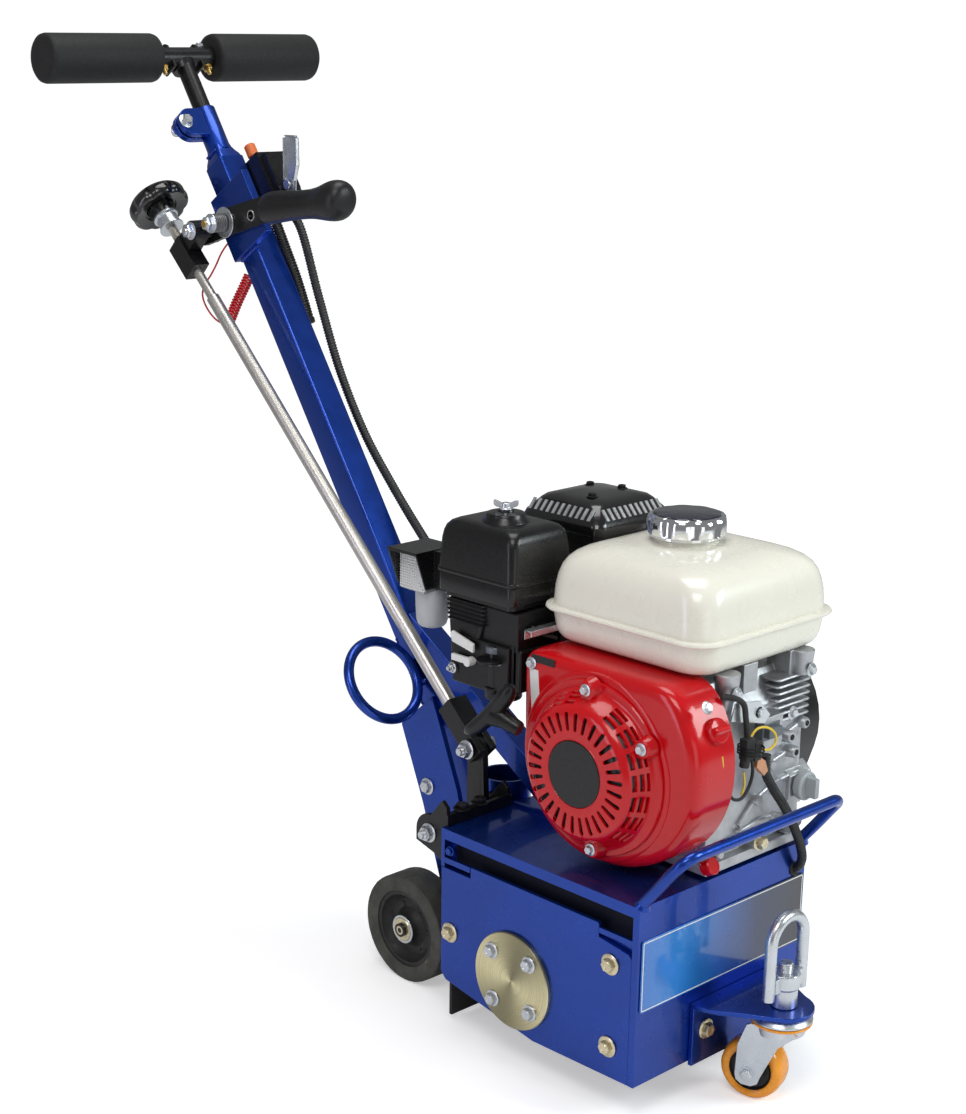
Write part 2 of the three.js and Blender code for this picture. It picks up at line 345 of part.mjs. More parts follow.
// ---------------------------------------------------------------- lift linkage
const bracketSide = [[278, 195.3], [278, 215], [286, 222], ...arc(PIVOT_Y, PIVOT_Z, 21, 95, 0, 8), [326, 166], [296, 158], [D + GAP, 150], [D + GAP, 195.3]];
put(lift, "pivot_bracket", cut(join(prism("x", bracketSide, 5.5, 11), prism("x", bracketSide, 97, 102), box(5.5, 102, 276, 281, 195.3, 208), box(6, 101.5, D + GAP, 283, 152, 198)),
  rodX(0, 14, PIVOT_Y, PIVOT_Z, 8.3, 16), rodX(94, 108, PIVOT_Y, PIVOT_Z, 8.3, 16)), black);
const wheelZ = GROUND_Z + WHEEL_R;
const armPts = (a, ra, b, rb) => beltLine(...a, ra, ...b, rb, 6);
put(lift, "lift_axle", cut(join(rodX(12, 96.6, PIVOT_Y, PIVOT_Z, 14, 20), rodX(3, 102, PIVOT_Y, PIVOT_Z, 8, 16),
  prism("x", armPts([PIVOT_Y, PIVOT_Z], 14, LINK_PIN, 12), 75, 83),
  prism("x", armPts([PIVOT_Y, PIVOT_Z], 16, [WHEEL_Y, wheelZ], 14), 88, 96),
  rodX(87, 177, WHEEL_Y, wheelZ, 12, 20), rodX(40, 224, WHEEL_Y, wheelZ, 8, 16)),
  rodX(70, 90, ...LINK_PIN, 8, 16)), black);
for (const [name, x0] of [["near", 45], ["far", 179]]) {
  const x1 = x0 + WHEEL_W;
  put(lift, "hub_" + name, cut(turn([[0, 0], [17, 0], [17, 4], [24, 14], [36, 14], [40, 3], [45, 3], [45, 37], [40, 37], [36, 26], [24, 26], [17, 36], [17, 40], [0, 40]], [x0, WHEEL_Y, wheelZ], [1, 0, 0], 24),
    rodX(x0 - 2, x1 + 2, WHEEL_Y, wheelZ, 8.3, 16)), black);
  put(lift, "tyre_" + name, turn([[45.4, 2], [61, 0], [63.3, 1.2], [64, 3], [64, 37], [63.3, 38.8], [61, 40], [45.4, 38], [45.4, 2]], [x0, WHEEL_Y, wheelZ], [1, 0, 0], 32), rubber);
}
// rod, clevis, block and depth knob share one axis
const rodVec = V(0, LEVER_PIN[0] - LINK_PIN[0], LEVER_PIN[1] - LINK_PIN[1]);
const pinOffset = 35; // the lever pin sits this far above the rod's axis
const ang = Math.atan2(rodVec.z, rodVec.y) - Math.asin(pinOffset / rodVec.length());
const RU = [Math.cos(ang), Math.sin(ang)], RN = [-Math.sin(ang), Math.cos(ang)];
const rp = (x, s, n = 0) => [x, LINK_PIN[0] + s * RU[0] + n * RN[0], LINK_PIN[1] + s * RU[1] + n * RN[1]];
const blockS = Math.sqrt(rodVec.length() ** 2 - pinOffset ** 2);
const rbar = (s0, s1, n0, n1, x0, x1) => prism("x", [[s0, n0], [s1, n0], [s1, n1], [s0, n1]].map(([s, n]) => rp(0, s, n).slice(1)), x0, x1);
put(linkage, "rod_clevis", join(cut(rbar(-12, 58, -12, 12, 66, 92), rbar(-22, 26, -22, 22, 74.5, 83.5), rod(rp(ROD_X, 44), rp(ROD_X, 80), 8.4, 16)),
  rodX(60, 96, ...LINK_PIN, 4, 12)), black);
put(linkage, "lift_rod", join(rod(rp(ROD_X, 45), rp(ROD_X, blockS - 73.8), 8, 16), rod(rp(ROD_X, blockS - 76), rp(ROD_X, blockS + 70), 6, 14)), steel);
put(linkage, "rod_block", cut(join(rbar(blockS - 34, blockS + 12, -13, 13, 65, 87), rbar(blockS - 12, blockS + 12, 4, 36, 68, 87), rodX(68, 87, ...LEVER_PIN, 12, 18)),
  rod(rp(ROD_X, blockS - 60), rp(ROD_X, blockS + 30), 6.3, 14), rodX(60, 100, ...LEVER_PIN, 5.4, 14)), black);
const knobBase = blockS + 61.5;
put(linkage, "depth_knob", cut(join(
  rod(rp(ROD_X, knobBase - 24), rp(ROD_X, knobBase + 2), 16, 20),
  (() => {
    const pts = Array.from({ length: 48 }, (_, i) => {
      const a = (Math.PI * 2 * i) / 48, r = 35.5 + 2 * Math.cos(8 * a);
      return new THREE.Vector2(r * Math.cos(a), r * Math.sin(a));
    });
    const g = new THREE.ExtrudeGeometry(new THREE.Shape(pts), { depth: 21, bevelEnabled: false }), m = new THREE.Matrix4();
    m.makeBasis(V(1, 0, 0), V(0, ...RN).negate(), V(0, ...RU));
    m.setPosition(...rp(ROD_X, knobBase + 1));
    return solid(g.applyMatrix4(m));
  })()), rod(rp(ROD_X, knobBase - 30), rp(ROD_X, blockS + 72), 6.3, 14)), plastic);
// lever: flat bar on the pivot stud with a moulded grip
const leverLine = [[812, 778], LEVER_PIVOT, [677, 817], [600, 826]];
function strip(line, half) {
  const up = [], down = [];
  line.forEach(([y, z], i) => {
    const a = line[Math.max(i - 1, 0)], b = line[Math.min(i + 1, line.length - 1)], l = Math.hypot(b[0] - a[0], b[1] - a[1]);
    const n = [-(b[1] - a[1]) / l, (b[0] - a[0]) / l];
    up.push([y + n[0] * half[i], z + n[1] * half[i]]);
    down.unshift([y - n[0] * half[i], z - n[1] * half[i]]);
  });
  return up.concat(down);
}
put(linkage, "lift_lever", cut(join(prism("x", strip(leverLine, [15, 16, 15, 11]), 96, 104), rodX(96, 104, ...LEVER_PIN, 16, 18), rodX(62, 98, ...LEVER_PIN, 5, 14)),
  rodX(88, 106, ...LEVER_PIVOT, 5.4, 14), rodX(90, 110, 714, 805, 5, 14)), black);
put(linkage, "lever_grip", cut(loft([[690, 814.5, 13], [686, 815, 18.5], [660, 818, 18.5], [632, 821, 17], [606, 824, 17], [588, 826.5, 19], [573, 829, 22.5], [559, 830, 22.5], [549, 830, 18], [545, 830, 9]].map(([y, z, r]) =>
  Array.from({ length: 16 }, (_, k) => {
    const a = (2 * Math.PI * k) / 16;
    return [100 + Math.cos(a) * r * 0.95, y - Math.sin(a) * r * 0.08, z + Math.sin(a) * r];
  }))), prism("x", strip([[700, 811], [677, 817], [598, 826.2]], [15.5, 15.4, 11.4]), 95.7, 104.3)), plastic);

// ---------------------------------------------------------------- caster and lifting eye
const swivel = group(root, [CASTER[0], CASTER[1], GROUND_Z], CASTER_YAW);
const AX = CASTER_R; // wheel axle height in the caster's own frame
put(swivel, "caster_fork", join(
  turn([[0, 88], [30, 88], [32, 91], [31, 96], [26, 101.2], [8, 101.2], [8, 116], [0, 116]], [0, 0, 0], [0, 0, 1], 28),
  prism("x", [[-26, 90], [28, 90], [38, 60], [CASTER_TRAIL + 13, AX - 6], [CASTER_TRAIL + 8, AX - 12], [CASTER_TRAIL - 8, AX - 12], [CASTER_TRAIL - 14, AX - 4], [-4, 72]], -24, -20.6),
  prism("x", [[-26, 90], [28, 90], [38, 60], [CASTER_TRAIL + 13, AX - 6], [CASTER_TRAIL + 8, AX - 12], [CASTER_TRAIL - 8, AX - 12], [CASTER_TRAIL - 14, AX - 4], [-4, 72]], 20.6, 24),
  box(-24, 24, -26, 28, 86, 90), rodX(-27, 27, CASTER_TRAIL, AX, 5, 14)), zinc, true);
put(swivel, "caster_wheel", cut(turn([[0, 0], [12, 0], [12, 3], [21, 5], [26, 1.5], [30, 1], [33, 6], [33, 28], [30, 33], [26, 32.5], [21, 29], [12, 31], [12, 34], [0, 34]], [-17, CASTER_TRAIL, AX], [1, 0, 0], 32),
  rodX(-20, 20, CASTER_TRAIL, AX, 5.3, 14)), orange, true);
put(chassis, "eye_nut", (() => {
  const c = [CASTER[0] + 2, CASTER[1]];
  const leg = (k) => [c[0] + k * 26, c[1]];
  const loop = sweep([[...leg(-1), 79], [...leg(-1), 100], [...leg(-1), 120], [...leg(-1), 138], [c[0] - 21.5, c[1], 152], [c[0] - 12, c[1], 160.5], [c[0], c[1], 163.5],
    [c[0] + 12, c[1], 160.5], [c[0] + 21.5, c[1], 152], [...leg(1), 138], [...leg(1), 120], [...leg(1), 100], [...leg(1), 79]], 6.2, 26, 8);
  return cut(join(rod([...c, 65.8], [...c, 86], 13.5, 20), rod([...c, 84], [...c, 103], 16, 8), box(c[0] - 22, c[0] + 22, c[1] - 6, c[1] + 6, 85, 102),
    rod([...c, 102], [...c, 113], 7.8, 16), loop), rod([CASTER[0], CASTER[1], 60], [CASTER[0], CASTER[1], 76], 8.4, 16));
})(), zinc);

export default root;
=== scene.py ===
import json
import math

import bmesh
import bpy
from mathutils import Matrix, Vector

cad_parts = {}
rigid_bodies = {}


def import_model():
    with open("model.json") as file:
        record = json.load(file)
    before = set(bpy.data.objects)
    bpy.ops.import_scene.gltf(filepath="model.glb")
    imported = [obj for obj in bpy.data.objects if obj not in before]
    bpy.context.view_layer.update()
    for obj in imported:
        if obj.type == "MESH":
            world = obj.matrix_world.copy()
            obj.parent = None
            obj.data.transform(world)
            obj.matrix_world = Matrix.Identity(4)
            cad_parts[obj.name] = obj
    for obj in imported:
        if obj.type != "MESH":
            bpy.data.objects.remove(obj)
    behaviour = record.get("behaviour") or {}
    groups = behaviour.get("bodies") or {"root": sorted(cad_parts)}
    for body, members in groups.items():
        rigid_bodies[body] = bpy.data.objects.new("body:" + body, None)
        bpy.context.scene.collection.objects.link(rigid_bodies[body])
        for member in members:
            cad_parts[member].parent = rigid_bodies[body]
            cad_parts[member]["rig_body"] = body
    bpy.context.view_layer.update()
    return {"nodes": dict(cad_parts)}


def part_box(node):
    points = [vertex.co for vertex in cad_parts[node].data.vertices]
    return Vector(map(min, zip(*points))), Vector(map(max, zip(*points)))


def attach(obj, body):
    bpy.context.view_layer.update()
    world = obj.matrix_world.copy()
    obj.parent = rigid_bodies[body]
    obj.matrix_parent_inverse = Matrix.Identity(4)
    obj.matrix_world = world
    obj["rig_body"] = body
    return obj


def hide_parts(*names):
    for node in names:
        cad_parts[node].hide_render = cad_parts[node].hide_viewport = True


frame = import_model()
nodes = frame["nodes"]
body_of_node = {n: o["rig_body"] for n, o in nodes.items()}
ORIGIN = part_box("housing")[0]  # the housing's lower front corner: zero of the millimetre working frame


def q(v):
    return ORIGIN + Vector(v) / 1000


# ---------------------------------------------------------------- dimensions shared with the frame (mm)
DRUM = (168, 56.6)
CRANK = (99.5, 304)
WHEEL_Y, WHEEL_Z = 391, 23
LINK_PIN, LEVER_PIN, LEVER_PIVOT = (307, 261), (794, 784), (764, 794)
TUBE_X, HT, FOOT, LEAN = 132, 17.75, (461.2, 337), math.radians(33.745)
TS, TC = math.sin(LEAN), math.cos(LEAN)
CASTER, YAW, TRAIL, ROLL_R = (150, -65), math.radians(17), 25, 33


def on(x, s, n=0):
    return (x, FOOT[0] + s * TS - n * TC, FOOT[1] + s * TC + n * TS)


def sn(s, n):
    return on(0, s, n)[1:]


RL = math.dist(LINK_PIN, LEVER_PIN)
RA = math.atan2(LEVER_PIN[1] - LINK_PIN[1], LEVER_PIN[0] - LINK_PIN[0]) - math.asin(35 / RL)
RU, RN = (math.cos(RA), math.sin(RA)), (-math.sin(RA), math.cos(RA))
BLOCK = math.sqrt(RL**2 - 35**2)


def rp(x, s, n=0):
    return (x, LINK_PIN[0] + s * RU[0] + n * RN[0], LINK_PIN[1] + s * RU[1] + n * RN[1])


def sw(x, y, z):
    c, s = math.cos(YAW), math.sin(YAW)
    return (CASTER[0] + x * c - y * s, CASTER[1] + x * s + y * c, z - 41)


# ---------------------------------------------------------------- materials
def material(name, color, rough=0.4, metal=0.0, coat=0.0, coat_rough=0.06, var=0.06, var_scale=35, rough_var=0.08,
             rough_scale=90, bump=0.0, bump_scale=900, stretch=(1, 1, 1), dark=None, dark_scale=12, dark_at=(0.62, 0.75),
             sheen=0.0, trans=0.0, sss=0.0, ior=None, rings=None, spec=None):
    m = bpy.data.materials.new(name)
    m.use_nodes = True
    nt = m.node_tree
    bs = nt.nodes["Principled BSDF"]
    L = nt.links.new
    tc = nt.nodes.new("ShaderNodeTexCoord")
    mp = nt.nodes.new("ShaderNodeMapping")
    mp.inputs["Scale"].default_value = stretch
    L(tc.outputs["Object"], mp.inputs["Vector"])

    def noise(scale, detail=4, rough_=0.55, src=None):
        n = nt.nodes.new("ShaderNodeTexNoise")
        n.inputs["Scale"].default_value = scale
        n.inputs["Detail"].default_value = detail
        n.inputs["Roughness"].default_value = rough_
        L(src or mp.outputs["Vector"], n.inputs["Vector"])
        return n

    def mix(a, b, fac):
        x = nt.nodes.new("ShaderNodeMix")
        x.data_type = "RGBA"
        x.inputs[6].default_value = (*a, 1) if isinstance(a, (tuple, list)) else (0, 0, 0, 1)
        x.inputs[7].default_value = (*b, 1) if isinstance(b, (tuple, list)) else (0, 0, 0, 1)
        if not isinstance(a, (tuple, list)):
            L(a, x.inputs[6])
        if not isinstance(b, (tuple, list)):
            L(b, x.inputs[7])
        L(fac, x.inputs[0])
        return x.outputs[2]

    def remap(src, a, b, c, d):
        r = nt.nodes.new("ShaderNodeMapRange")
        r.inputs[1].default_value, r.inputs[2].default_value = a, b
        r.inputs[3].default_value, r.inputs[4].default_value = c, d
        L(src, r.inputs[0])
        return r.outputs[0]

    n1 = noise(var_scale)
    lo = tuple(max(0, c * (1 - var)) for c in color)
    hi = tuple(min(1, c * (1 + var)) for c in color)
    col = mix(lo, hi, remap(n1.outputs["Fac"], 0.3, 0.7, 0, 1))
    if dark:
        n4 = noise(dark_scale, 6, 0.65)
        col = mix(col, dark, remap(n4.outputs["Fac"], dark_at[0], dark_at[1], 0, 1))
    L(col, bs.inputs["Base Color"])
    n2 = noise(rough_scale, 3)
    L(remap(n2.outputs["Fac"], 0.3, 0.7, max(0.02, rough - rough_var), min(1, rough + rough_var)), bs.inputs["Roughness"])
    height = None
    if rings:  # turned face: fine rings about an axis along X, and a painted sheen fan about the same centre
        sub = nt.nodes.new("ShaderNodeVectorMath")
        sub.operation = "SUBTRACT"
        sub.inputs[1].default_value = rings
        L(tc.outputs["Object"], sub.inputs[0])
        ln = nt.nodes.new("ShaderNodeVectorMath")
        ln.operation = "LENGTH"
        L(sub.outputs[0], ln.inputs[0])
        n5 = nt.nodes.new("ShaderNodeTexNoise")
        n5.noise_dimensions = "1D"
        n5.inputs["Scale"].default_value = 900
        n5.inputs["Detail"].default_value = 3
        L(ln.outputs["Value"], n5.inputs["W"])
        height = n5.outputs["Fac"]
        sp = nt.nodes.new("ShaderNodeSeparateXYZ")  # painted sheen: a pale fan of painted highlight and darker painted shade swept by angle across the turned face
        L(sub.outputs[0], sp.inputs[0])
        at_ = nt.nodes.new("ShaderNodeMath")
        at_.operation = "ARCTAN2"
        L(sp.outputs[2], at_.inputs[0])
        L(sp.outputs[1], at_.inputs[1])
        m2 = nt.nodes.new("ShaderNodeMath")
        m2.operation = "MULTIPLY_ADD"
        m2.inputs[1].default_value, m2.inputs[2].default_value = 2.0, 0.9
        L(at_.outputs[0], m2.inputs[0])
        sn_ = nt.nodes.new("ShaderNodeMath")
        sn_.operation = "SINE"
        L(m2.outputs[0], sn_.inputs[0])
        fan = mix(tuple(c * 0.42 for c in color), tuple(min(1, c * 1.25) for c in color), remap(sn_.outputs[0], -1.0, 1.0, 0.0, 1.0))
        fan = mix(fan, tuple(c * 0.55 for c in color), remap(n5.outputs["Fac"], 0.52, 0.75, 0.0, 0.7))
        L(fan, bs.inputs["Base Color"])
    elif bump:
        height = noise(bump_scale, 3, 0.6).outputs["Fac"]
    if height is not None:
        b = nt.nodes.new("ShaderNodeBump")
        b.inputs["Strength"].default_value = bump or 0.2
        b.inputs["Distance"].default_value = 0.0004
        L(height, b.inputs["Height"])
        L(b.outputs["Normal"], bs.inputs["Normal"])
    bs.inputs["Metallic"].default_value = metal
    bs.inputs["Coat Weight"].default_value = coat
    bs.inputs["Coat Roughness"].default_value = coat_rough
    bs.inputs["Transmission Weight"].default_value = trans
    if sheen:
        bs.inputs["Sheen Weight"].default_value = sheen
        bs.inputs["Sheen Roughness"].default_value = 0.5
    if sss:
        bs.inputs["Subsurface Weight"].default_value = sss
        bs.inputs["Subsurface Radius"].default_value = (0.004, 0.003, 0.002)
        bs.inputs["Subsurface Scale"].default_value = 1.0
    if ior:
        bs.inputs["IOR"].default_value = ior
    if spec is not None:
        bs.inputs["Specular IOR Level"].default_value = spec
    return m


M = {
    "blue_paint": material("blue_paint", (0.004, 0.048, 0.36), 0.30, 0.80, 0.45, 0.04, 0.08, 14, 0.05, 60, 0, 1400),
    "red_paint": material("red_paint", (0.56, 0.002, 0.006), 0.24, 0.0, 0.5, 0.03, 0.04, 12, 0.04, 40, 0, 900, spec=0.25),
    "cream_paint": material("cream_paint", (0.82, 0.80, 0.70), 0.28, 0.0, 0.5, 0.05, 0.015, 12, 0.04, 40, 0, 500),
    "black_paint": material("black_paint", (0.006, 0.006, 0.0065), 0.34, 0.0, 0.15, 0.15, 0.25, 60, 0.07, 120, 0.05, 900, spec=0.35),
    "black_plastic": material("black_plastic", (0.006, 0.006, 0.0065), 0.33, 0.0, 0.0, 0.25, 0.2, 60, 0.06, 200, 0.06, 1500, spec=0.38),
    "foam": material("foam", (0.010, 0.010, 0.0105), 0.62, 0.0, 0.0, 0.1, 0.20, 300, 0.07, 400, 0.30, 1300, sheen=0.04, spec=0.35),
    "zinc": material("zinc", (0.66, 0.69, 0.72), 0.30, 0.92, 0, 0.1, 0.06, 60, 0.07, 120, 0, 1500),
    # yellow zinc for the bearing cap: rings= sets the centre of its turning rings and of its painted sheen fan
    "yellow_zinc": material("yellow_zinc", (0.66, 0.60, 0.36), 0.30, 0.92, 0, 0.1, 0.05, 14, 0.04, 60, 0.05, 900, rings=tuple(q((-4.5, 168, 56.6)))),
    "gold_bolt": material("gold_bolt", (0.70, 0.62, 0.42), 0.28, 0.92, 0, 0.1, 0.10, 90, 0.08, 200, 0, 1500),
    "steel": material("steel", (0.60, 0.58, 0.54), 0.36, 0.92, 0, 0.1, 0.05, 40, 0.05, 60, 0, 1600),
    "tool_steel": material("tool_steel", (0.22, 0.22, 0.23), 0.5, 0.9, 0, 0.1, 0.2, 90, 0.15, 200, 0.3, 900, dark=(0.09, 0.07, 0.06), dark_scale=30),
    "aluminium": material("aluminium", (0.50, 0.51, 0.53), 0.40, 0.85, 0, 0.1, 0.12, 70, 0.12, 160, 0.55, 900, dark=(0.20, 0.20, 0.21), dark_scale=22),
    "rubber": material("rubber", (0.02, 0.02, 0.02), 0.7, 0, 0, 0.1, 0.2, 60, 0.1, 120, 0.3, 900),
    "tyre": material("tyre", (0.050, 0.050, 0.040), 0.62, 0, 0, 0.1, 0.35, 55, 0.12, 120, 0.5, 1100, dark=(0.24, 0.20, 0.13),
                     dark_scale=38, dark_at=(0.60, 0.80)),
    "orange_urethane": material("orange_urethane", (0.95, 0.34, 0.01), 0.28, 0, 0.3, 0.12, 0.08, 60, 0.08, 160, 0.08, 500,
                                dark=(0.55, 0.20, 0.02), dark_scale=45, dark_at=(0.66, 0.85)),
    "chrome": material("chrome", (0.80, 0.81, 0.83), 0.08, 1.0, 0, 0.1, 0.03, 60, 0.03, 160, 0, 600),
    "frosted": material("frosted", (0.78, 0.80, 0.82), 0.34, 0, 0, 0.1, 0.04, 60, 0.06, 120, 0.05, 600, trans=0.45, ior=1.45),
    "red_cord": material("red_cord", (0.66, 0.012, 0.018), 0.3, 0, 0.3, 0.1, 0.08, 60, 0.06, 120, 0.04, 600),
    "orange_plastic": material("orange_plastic", (0.72, 0.16, 0.035), 0.42, 0, 0.1, 0.2, 0.08, 90, 0.06, 120, 0.05, 900),
    "grey_plastic": material("grey_plastic", (0.42, 0.45, 0.47), 0.42, 0, 0.1, 0.2, 0.06, 60, 0.06, 120, 0.08, 1200),
    "white_plastic": material("white_plastic", (0.80, 0.80, 0.78), 0.4, 0, 0.1, 0.2, 0.04, 60, 0.06, 120, 0.04, 900),
    "grip_rubber": material("grip_rubber", (0.008, 0.008, 0.0085), 0.40, 0, 0.0, 0.25, 0.2, 80, 0.06, 200, 0.10, 1800, spec=0.4),
    "satin_black": material("satin_black", (0.006, 0.006, 0.0065), 0.30, 0, 0.1, 0.15, 0.2, 60, 0.05, 200, 0.05, 1500, spec=0.4),
    "gloss_black": material("gloss_black", (0.006, 0.006, 0.0065), 0.20, 0, 0.5, 0.06, 0.2, 60, 0.04, 200, 0.0, 900, spec=0.5),
    "cap_top": material("cap_top", (0.030, 0.034, 0.055), 0.24, 0.5, 0.5, 0.05, 0.05, 60, 0.04, 120, 0, 900),
    # painted shade: near-black blue for the sheet laid in the deck recess, standing in for the recess's shadow
    "painted_recess_shade": material("painted_recess_shade", (0.002, 0.003, 0.012), 0.6, 0.0, 0.0, 0.2, 0.1, 60, 0.05, 120, 0, 900, spec=0.2),
    "badge": material("badge", (0.003, 0.003, 0.0035), 0.30, 0, 0.0, 0.2, 0.2, 60, 0.05, 200, 0.04, 1500),
    "conduit": material("conduit", (0.012, 0.012, 0.012), 0.45, 0, 0.1, 0.2, 0.2, 60, 0.06, 200, 0.05, 1500),
    "reel_steel": material("reel_steel", (0.07, 0.07, 0.075), 0.5, 0.6, 0, 0.1, 0.3, 60, 0.1, 200, 0.1, 900),
    "slot_bright": material("slot_bright", (0.55, 0.56, 0.57), 0.35, 0.6, 0, 0.1, 0.15, 90, 0.1, 200, 0.1, 900),
    "pitch": material("pitch", (0.004, 0.004, 0.004), 0.7, 0, 0, 0.1, 0.2, 60, 0.1, 120, 0.2, 900),
    "cast_black": material("cast_black", (0.018, 0.018, 0.017), 0.55, 0.1, 0, 0.1, 0.3, 60, 0.12, 150, 0.8, 700, dark=(0.075, 0.06, 0.04), dark_scale=30,
                           dark_at=(0.62, 0.82)),
    "brass": material("brass", (0.60, 0.40, 0.13), 0.3, 0.95, 0, 0.1, 0.12, 90, 0.08, 200, 0.1, 1200),
    "yellow_wire": material("yellow_wire", (0.80, 0.55, 0.02), 0.35, 0, 0.2, 0.1, 0.06, 90, 0.05, 120, 0.03, 900),
    "copper": material("copper", (0.62, 0.30, 0.16), 0.4, 0.3, 0.1, 0.1, 0.1, 90, 0.05, 120, 0.05, 900),
    "label_white": material("label_white", (0.80, 0.80, 0.78), 0.35, 0, 0.4, 0.1, 0.02, 60, 0.04, 120, 0.02, 900),
    "gasket": material("gasket", (0.15, 0.17, 0.19), 0.4, 0.6, 0, 0.1, 0.1, 60, 0.08, 120, 0.2, 900),
}


def nameplate_material():
    m = material("nameplate", (0.02, 0.10, 0.40), 0.25, 0.1, 0.9, 0.05, 0.04, 20, 0.04, 60, 0.02, 600)
    nt = m.node_tree
    L = nt.links.new
    bs = nt.nodes["Principled BSDF"]
    tc = next(n for n in nt.nodes if n.type == "TEX_COORD")
    sep = nt.nodes.new("ShaderNodeSeparateXYZ")
    L(tc.outputs["Object"], sep.inputs[0])
    r = nt.nodes.new("ShaderNodeMapRange")
    r.inputs[1].default_value, r.inputs[2].default_value = q((5, 0, 0)).x, q((261, 0, 0)).x
    L(sep.outputs[0], r.inputs[0])
    cr = nt.nodes.new("ShaderNodeValToRGB")
    el = cr.color_ramp.elements
    el[0].position, el[0].color = 0.0, (0.018, 0.16, 0.56, 1)
    el[1].position, el[1].color = 1.0, (0.004, 0.004, 0.006, 1)
    for pos, c in ((0.22, (0.03, 0.24, 0.66, 1)), (0.50, (0.012, 0.09, 0.36, 1)), (0.70, (0.006, 0.02, 0.09, 1))):
        e = el.new(pos)
        e.color = c
    L(r.outputs[0], cr.inputs[0])
    L(cr.outputs[0], bs.inputs["Base Color"])
    return m


M["nameplate"] = nameplate_material()


# ---------------------------------------------------------------- mesh builders (millimetre working frame)
def frame_of(d):
    d = Vector(d).normalized()
    a = Vector((0, 0, 1)) if abs(d.z) < 0.9 else Vector((1, 0, 0))
    u = d.cross(a).normalized()
    return u, d.cross(u), d


def skin(bm, rings, loop=False, caps=True):
    """Faces between rings of points. A ring of one point closes to a tip."""
    vs = [[bm.verts.new(p) for p in r] for r in rings]
    pairs = list(zip(vs, vs[1:])) + ([(vs[-1], vs[0])] if loop else [])
    for a, b in pairs:
        n = max(len(a), len(b))
        for i in range(n):
            j = (i + 1) % n
            f = [a[i], a[j], b[j], b[i]] if len(a) == len(b) else ([a[0], b[j], b[i]] if len(a) == 1 else [a[i], a[j], b[0]])
            if len(a) == 1 and len(b) == 1:
                continue
            bm.faces.new(f)
    if caps and not loop:
        for r in (vs[0], vs[-1]):
            if len(r) > 2:
                bm.faces.new(r)
    return vs


def lathe(bm, prof, at, d, seg=64, loop=False, lobes=None):
    u, v, d = frame_of(d)
    at = Vector(at)
    rings = []
    for k, (r, h) in enumerate(prof):
        if r < 1e-6:
            rings.append([at + d * h])
            continue
        ring = []
        for i in range(seg):
            a = 2 * math.pi * i / seg
            rr = r * (lobes(a, k) if lobes else 1)
            ring.append(at + d * h + (u * math.cos(a) + v * math.sin(a)) * rr)
        rings.append(ring)
    skin(bm, rings, loop)


def rod(bm, a, b, r, seg=32, r2=None, ch=0.0):
    a, b = Vector(a), Vector(b)
    n = (b - a).length
    r2 = r if r2 is None else r2
    c = min(ch, r * 0.5, n * 0.4)
    prof = [(r - c, 0), (r, c), (r2, n - c), (r2 - c, n)] if c > 0 else [(r, 0), (r2, n)]
    lathe(bm, prof, a, b - a, seg)


def block(bm, x0, x1, y0, y1, z0, z1):
    skin(bm, [[(x0, y0, z), (x1, y0, z), (x1, y1, z), (x0, y1, z)] for z in (z0, z1)])


def prism(bm, pts, axis, a, b):
    def at(p, w):
        return {"x": (w, p[0], p[1]), "y": (p[0], w, p[1]), "z": (p[0], p[1], w)}[axis]
    skin(bm, [[at(p, w) for p in pts] for w in (a, b)])


def plate(bm, pts, x0, x1):
    prism(bm, [sn(s, n) for s, n in pts], "x", x0, x1)


def arc(cx, cy, r, d0, d1, n=8):
    return [(cx + r * math.cos(math.radians(d0 + (d1 - d0) * i / n)), cy + r * math.sin(math.radians(d0 + (d1 - d0) * i / n))) for i in range(n + 1)]


def rounded(x0, x1, y0, y1, r, n=6):
    return arc(x1 - r, y1 - r, r, 0, 90, n) + arc(x0 + r, y1 - r, r, 90, 180, n) + arc(x0 + r, y0 + r, r, 180, 270, n) + arc(x1 - r, y0 + r, r, 270, 360, n)


def smooth_path(pts, step=3.0):
    """Catmull-Rom through the points, resampled."""
    P = [Vector(p) for p in pts]
    P = [P[0] * 2 - P[1]] + P + [P[-1] * 2 - P[-2]]
    out = []
    for i in range(1, len(P) - 2):
        a, b, c, d = P[i - 1 : i + 3]
        t0, t1 = 0.0, max(1e-6, (b - a).length ** 0.5)
        t2 = t1 + max(1e-6, (c - b).length ** 0.5)
        t3 = t2 + max(1e-6, (d - c).length ** 0.5)
        k = max(1, int((c - b).length / step))
        for j in range(k):
            t = t1 + (t2 - t1) * j / k
            A1 = a * ((t1 - t) / (t1 - t0)) + b * ((t - t0) / (t1 - t0))
            A2 = b * ((t2 - t) / (t2 - t1)) + c * ((t - t1) / (t2 - t1))
            A3 = c * ((t3 - t) / (t3 - t2)) + d * ((t - t2) / (t3 - t2))
            B1 = A1 * ((t2 - t) / (t2 - t0)) + A2 * ((t - t0) / (t2 - t0))
            B2 = A2 * ((t3 - t) / (t3 - t1)) + A3 * ((t - t1) / (t3 - t1))
            out.append(B1 * ((t2 - t) / (t2 - t1)) + B2 * ((t - t1) / (t2 - t1)))
    out.append(P[-2])
    return out


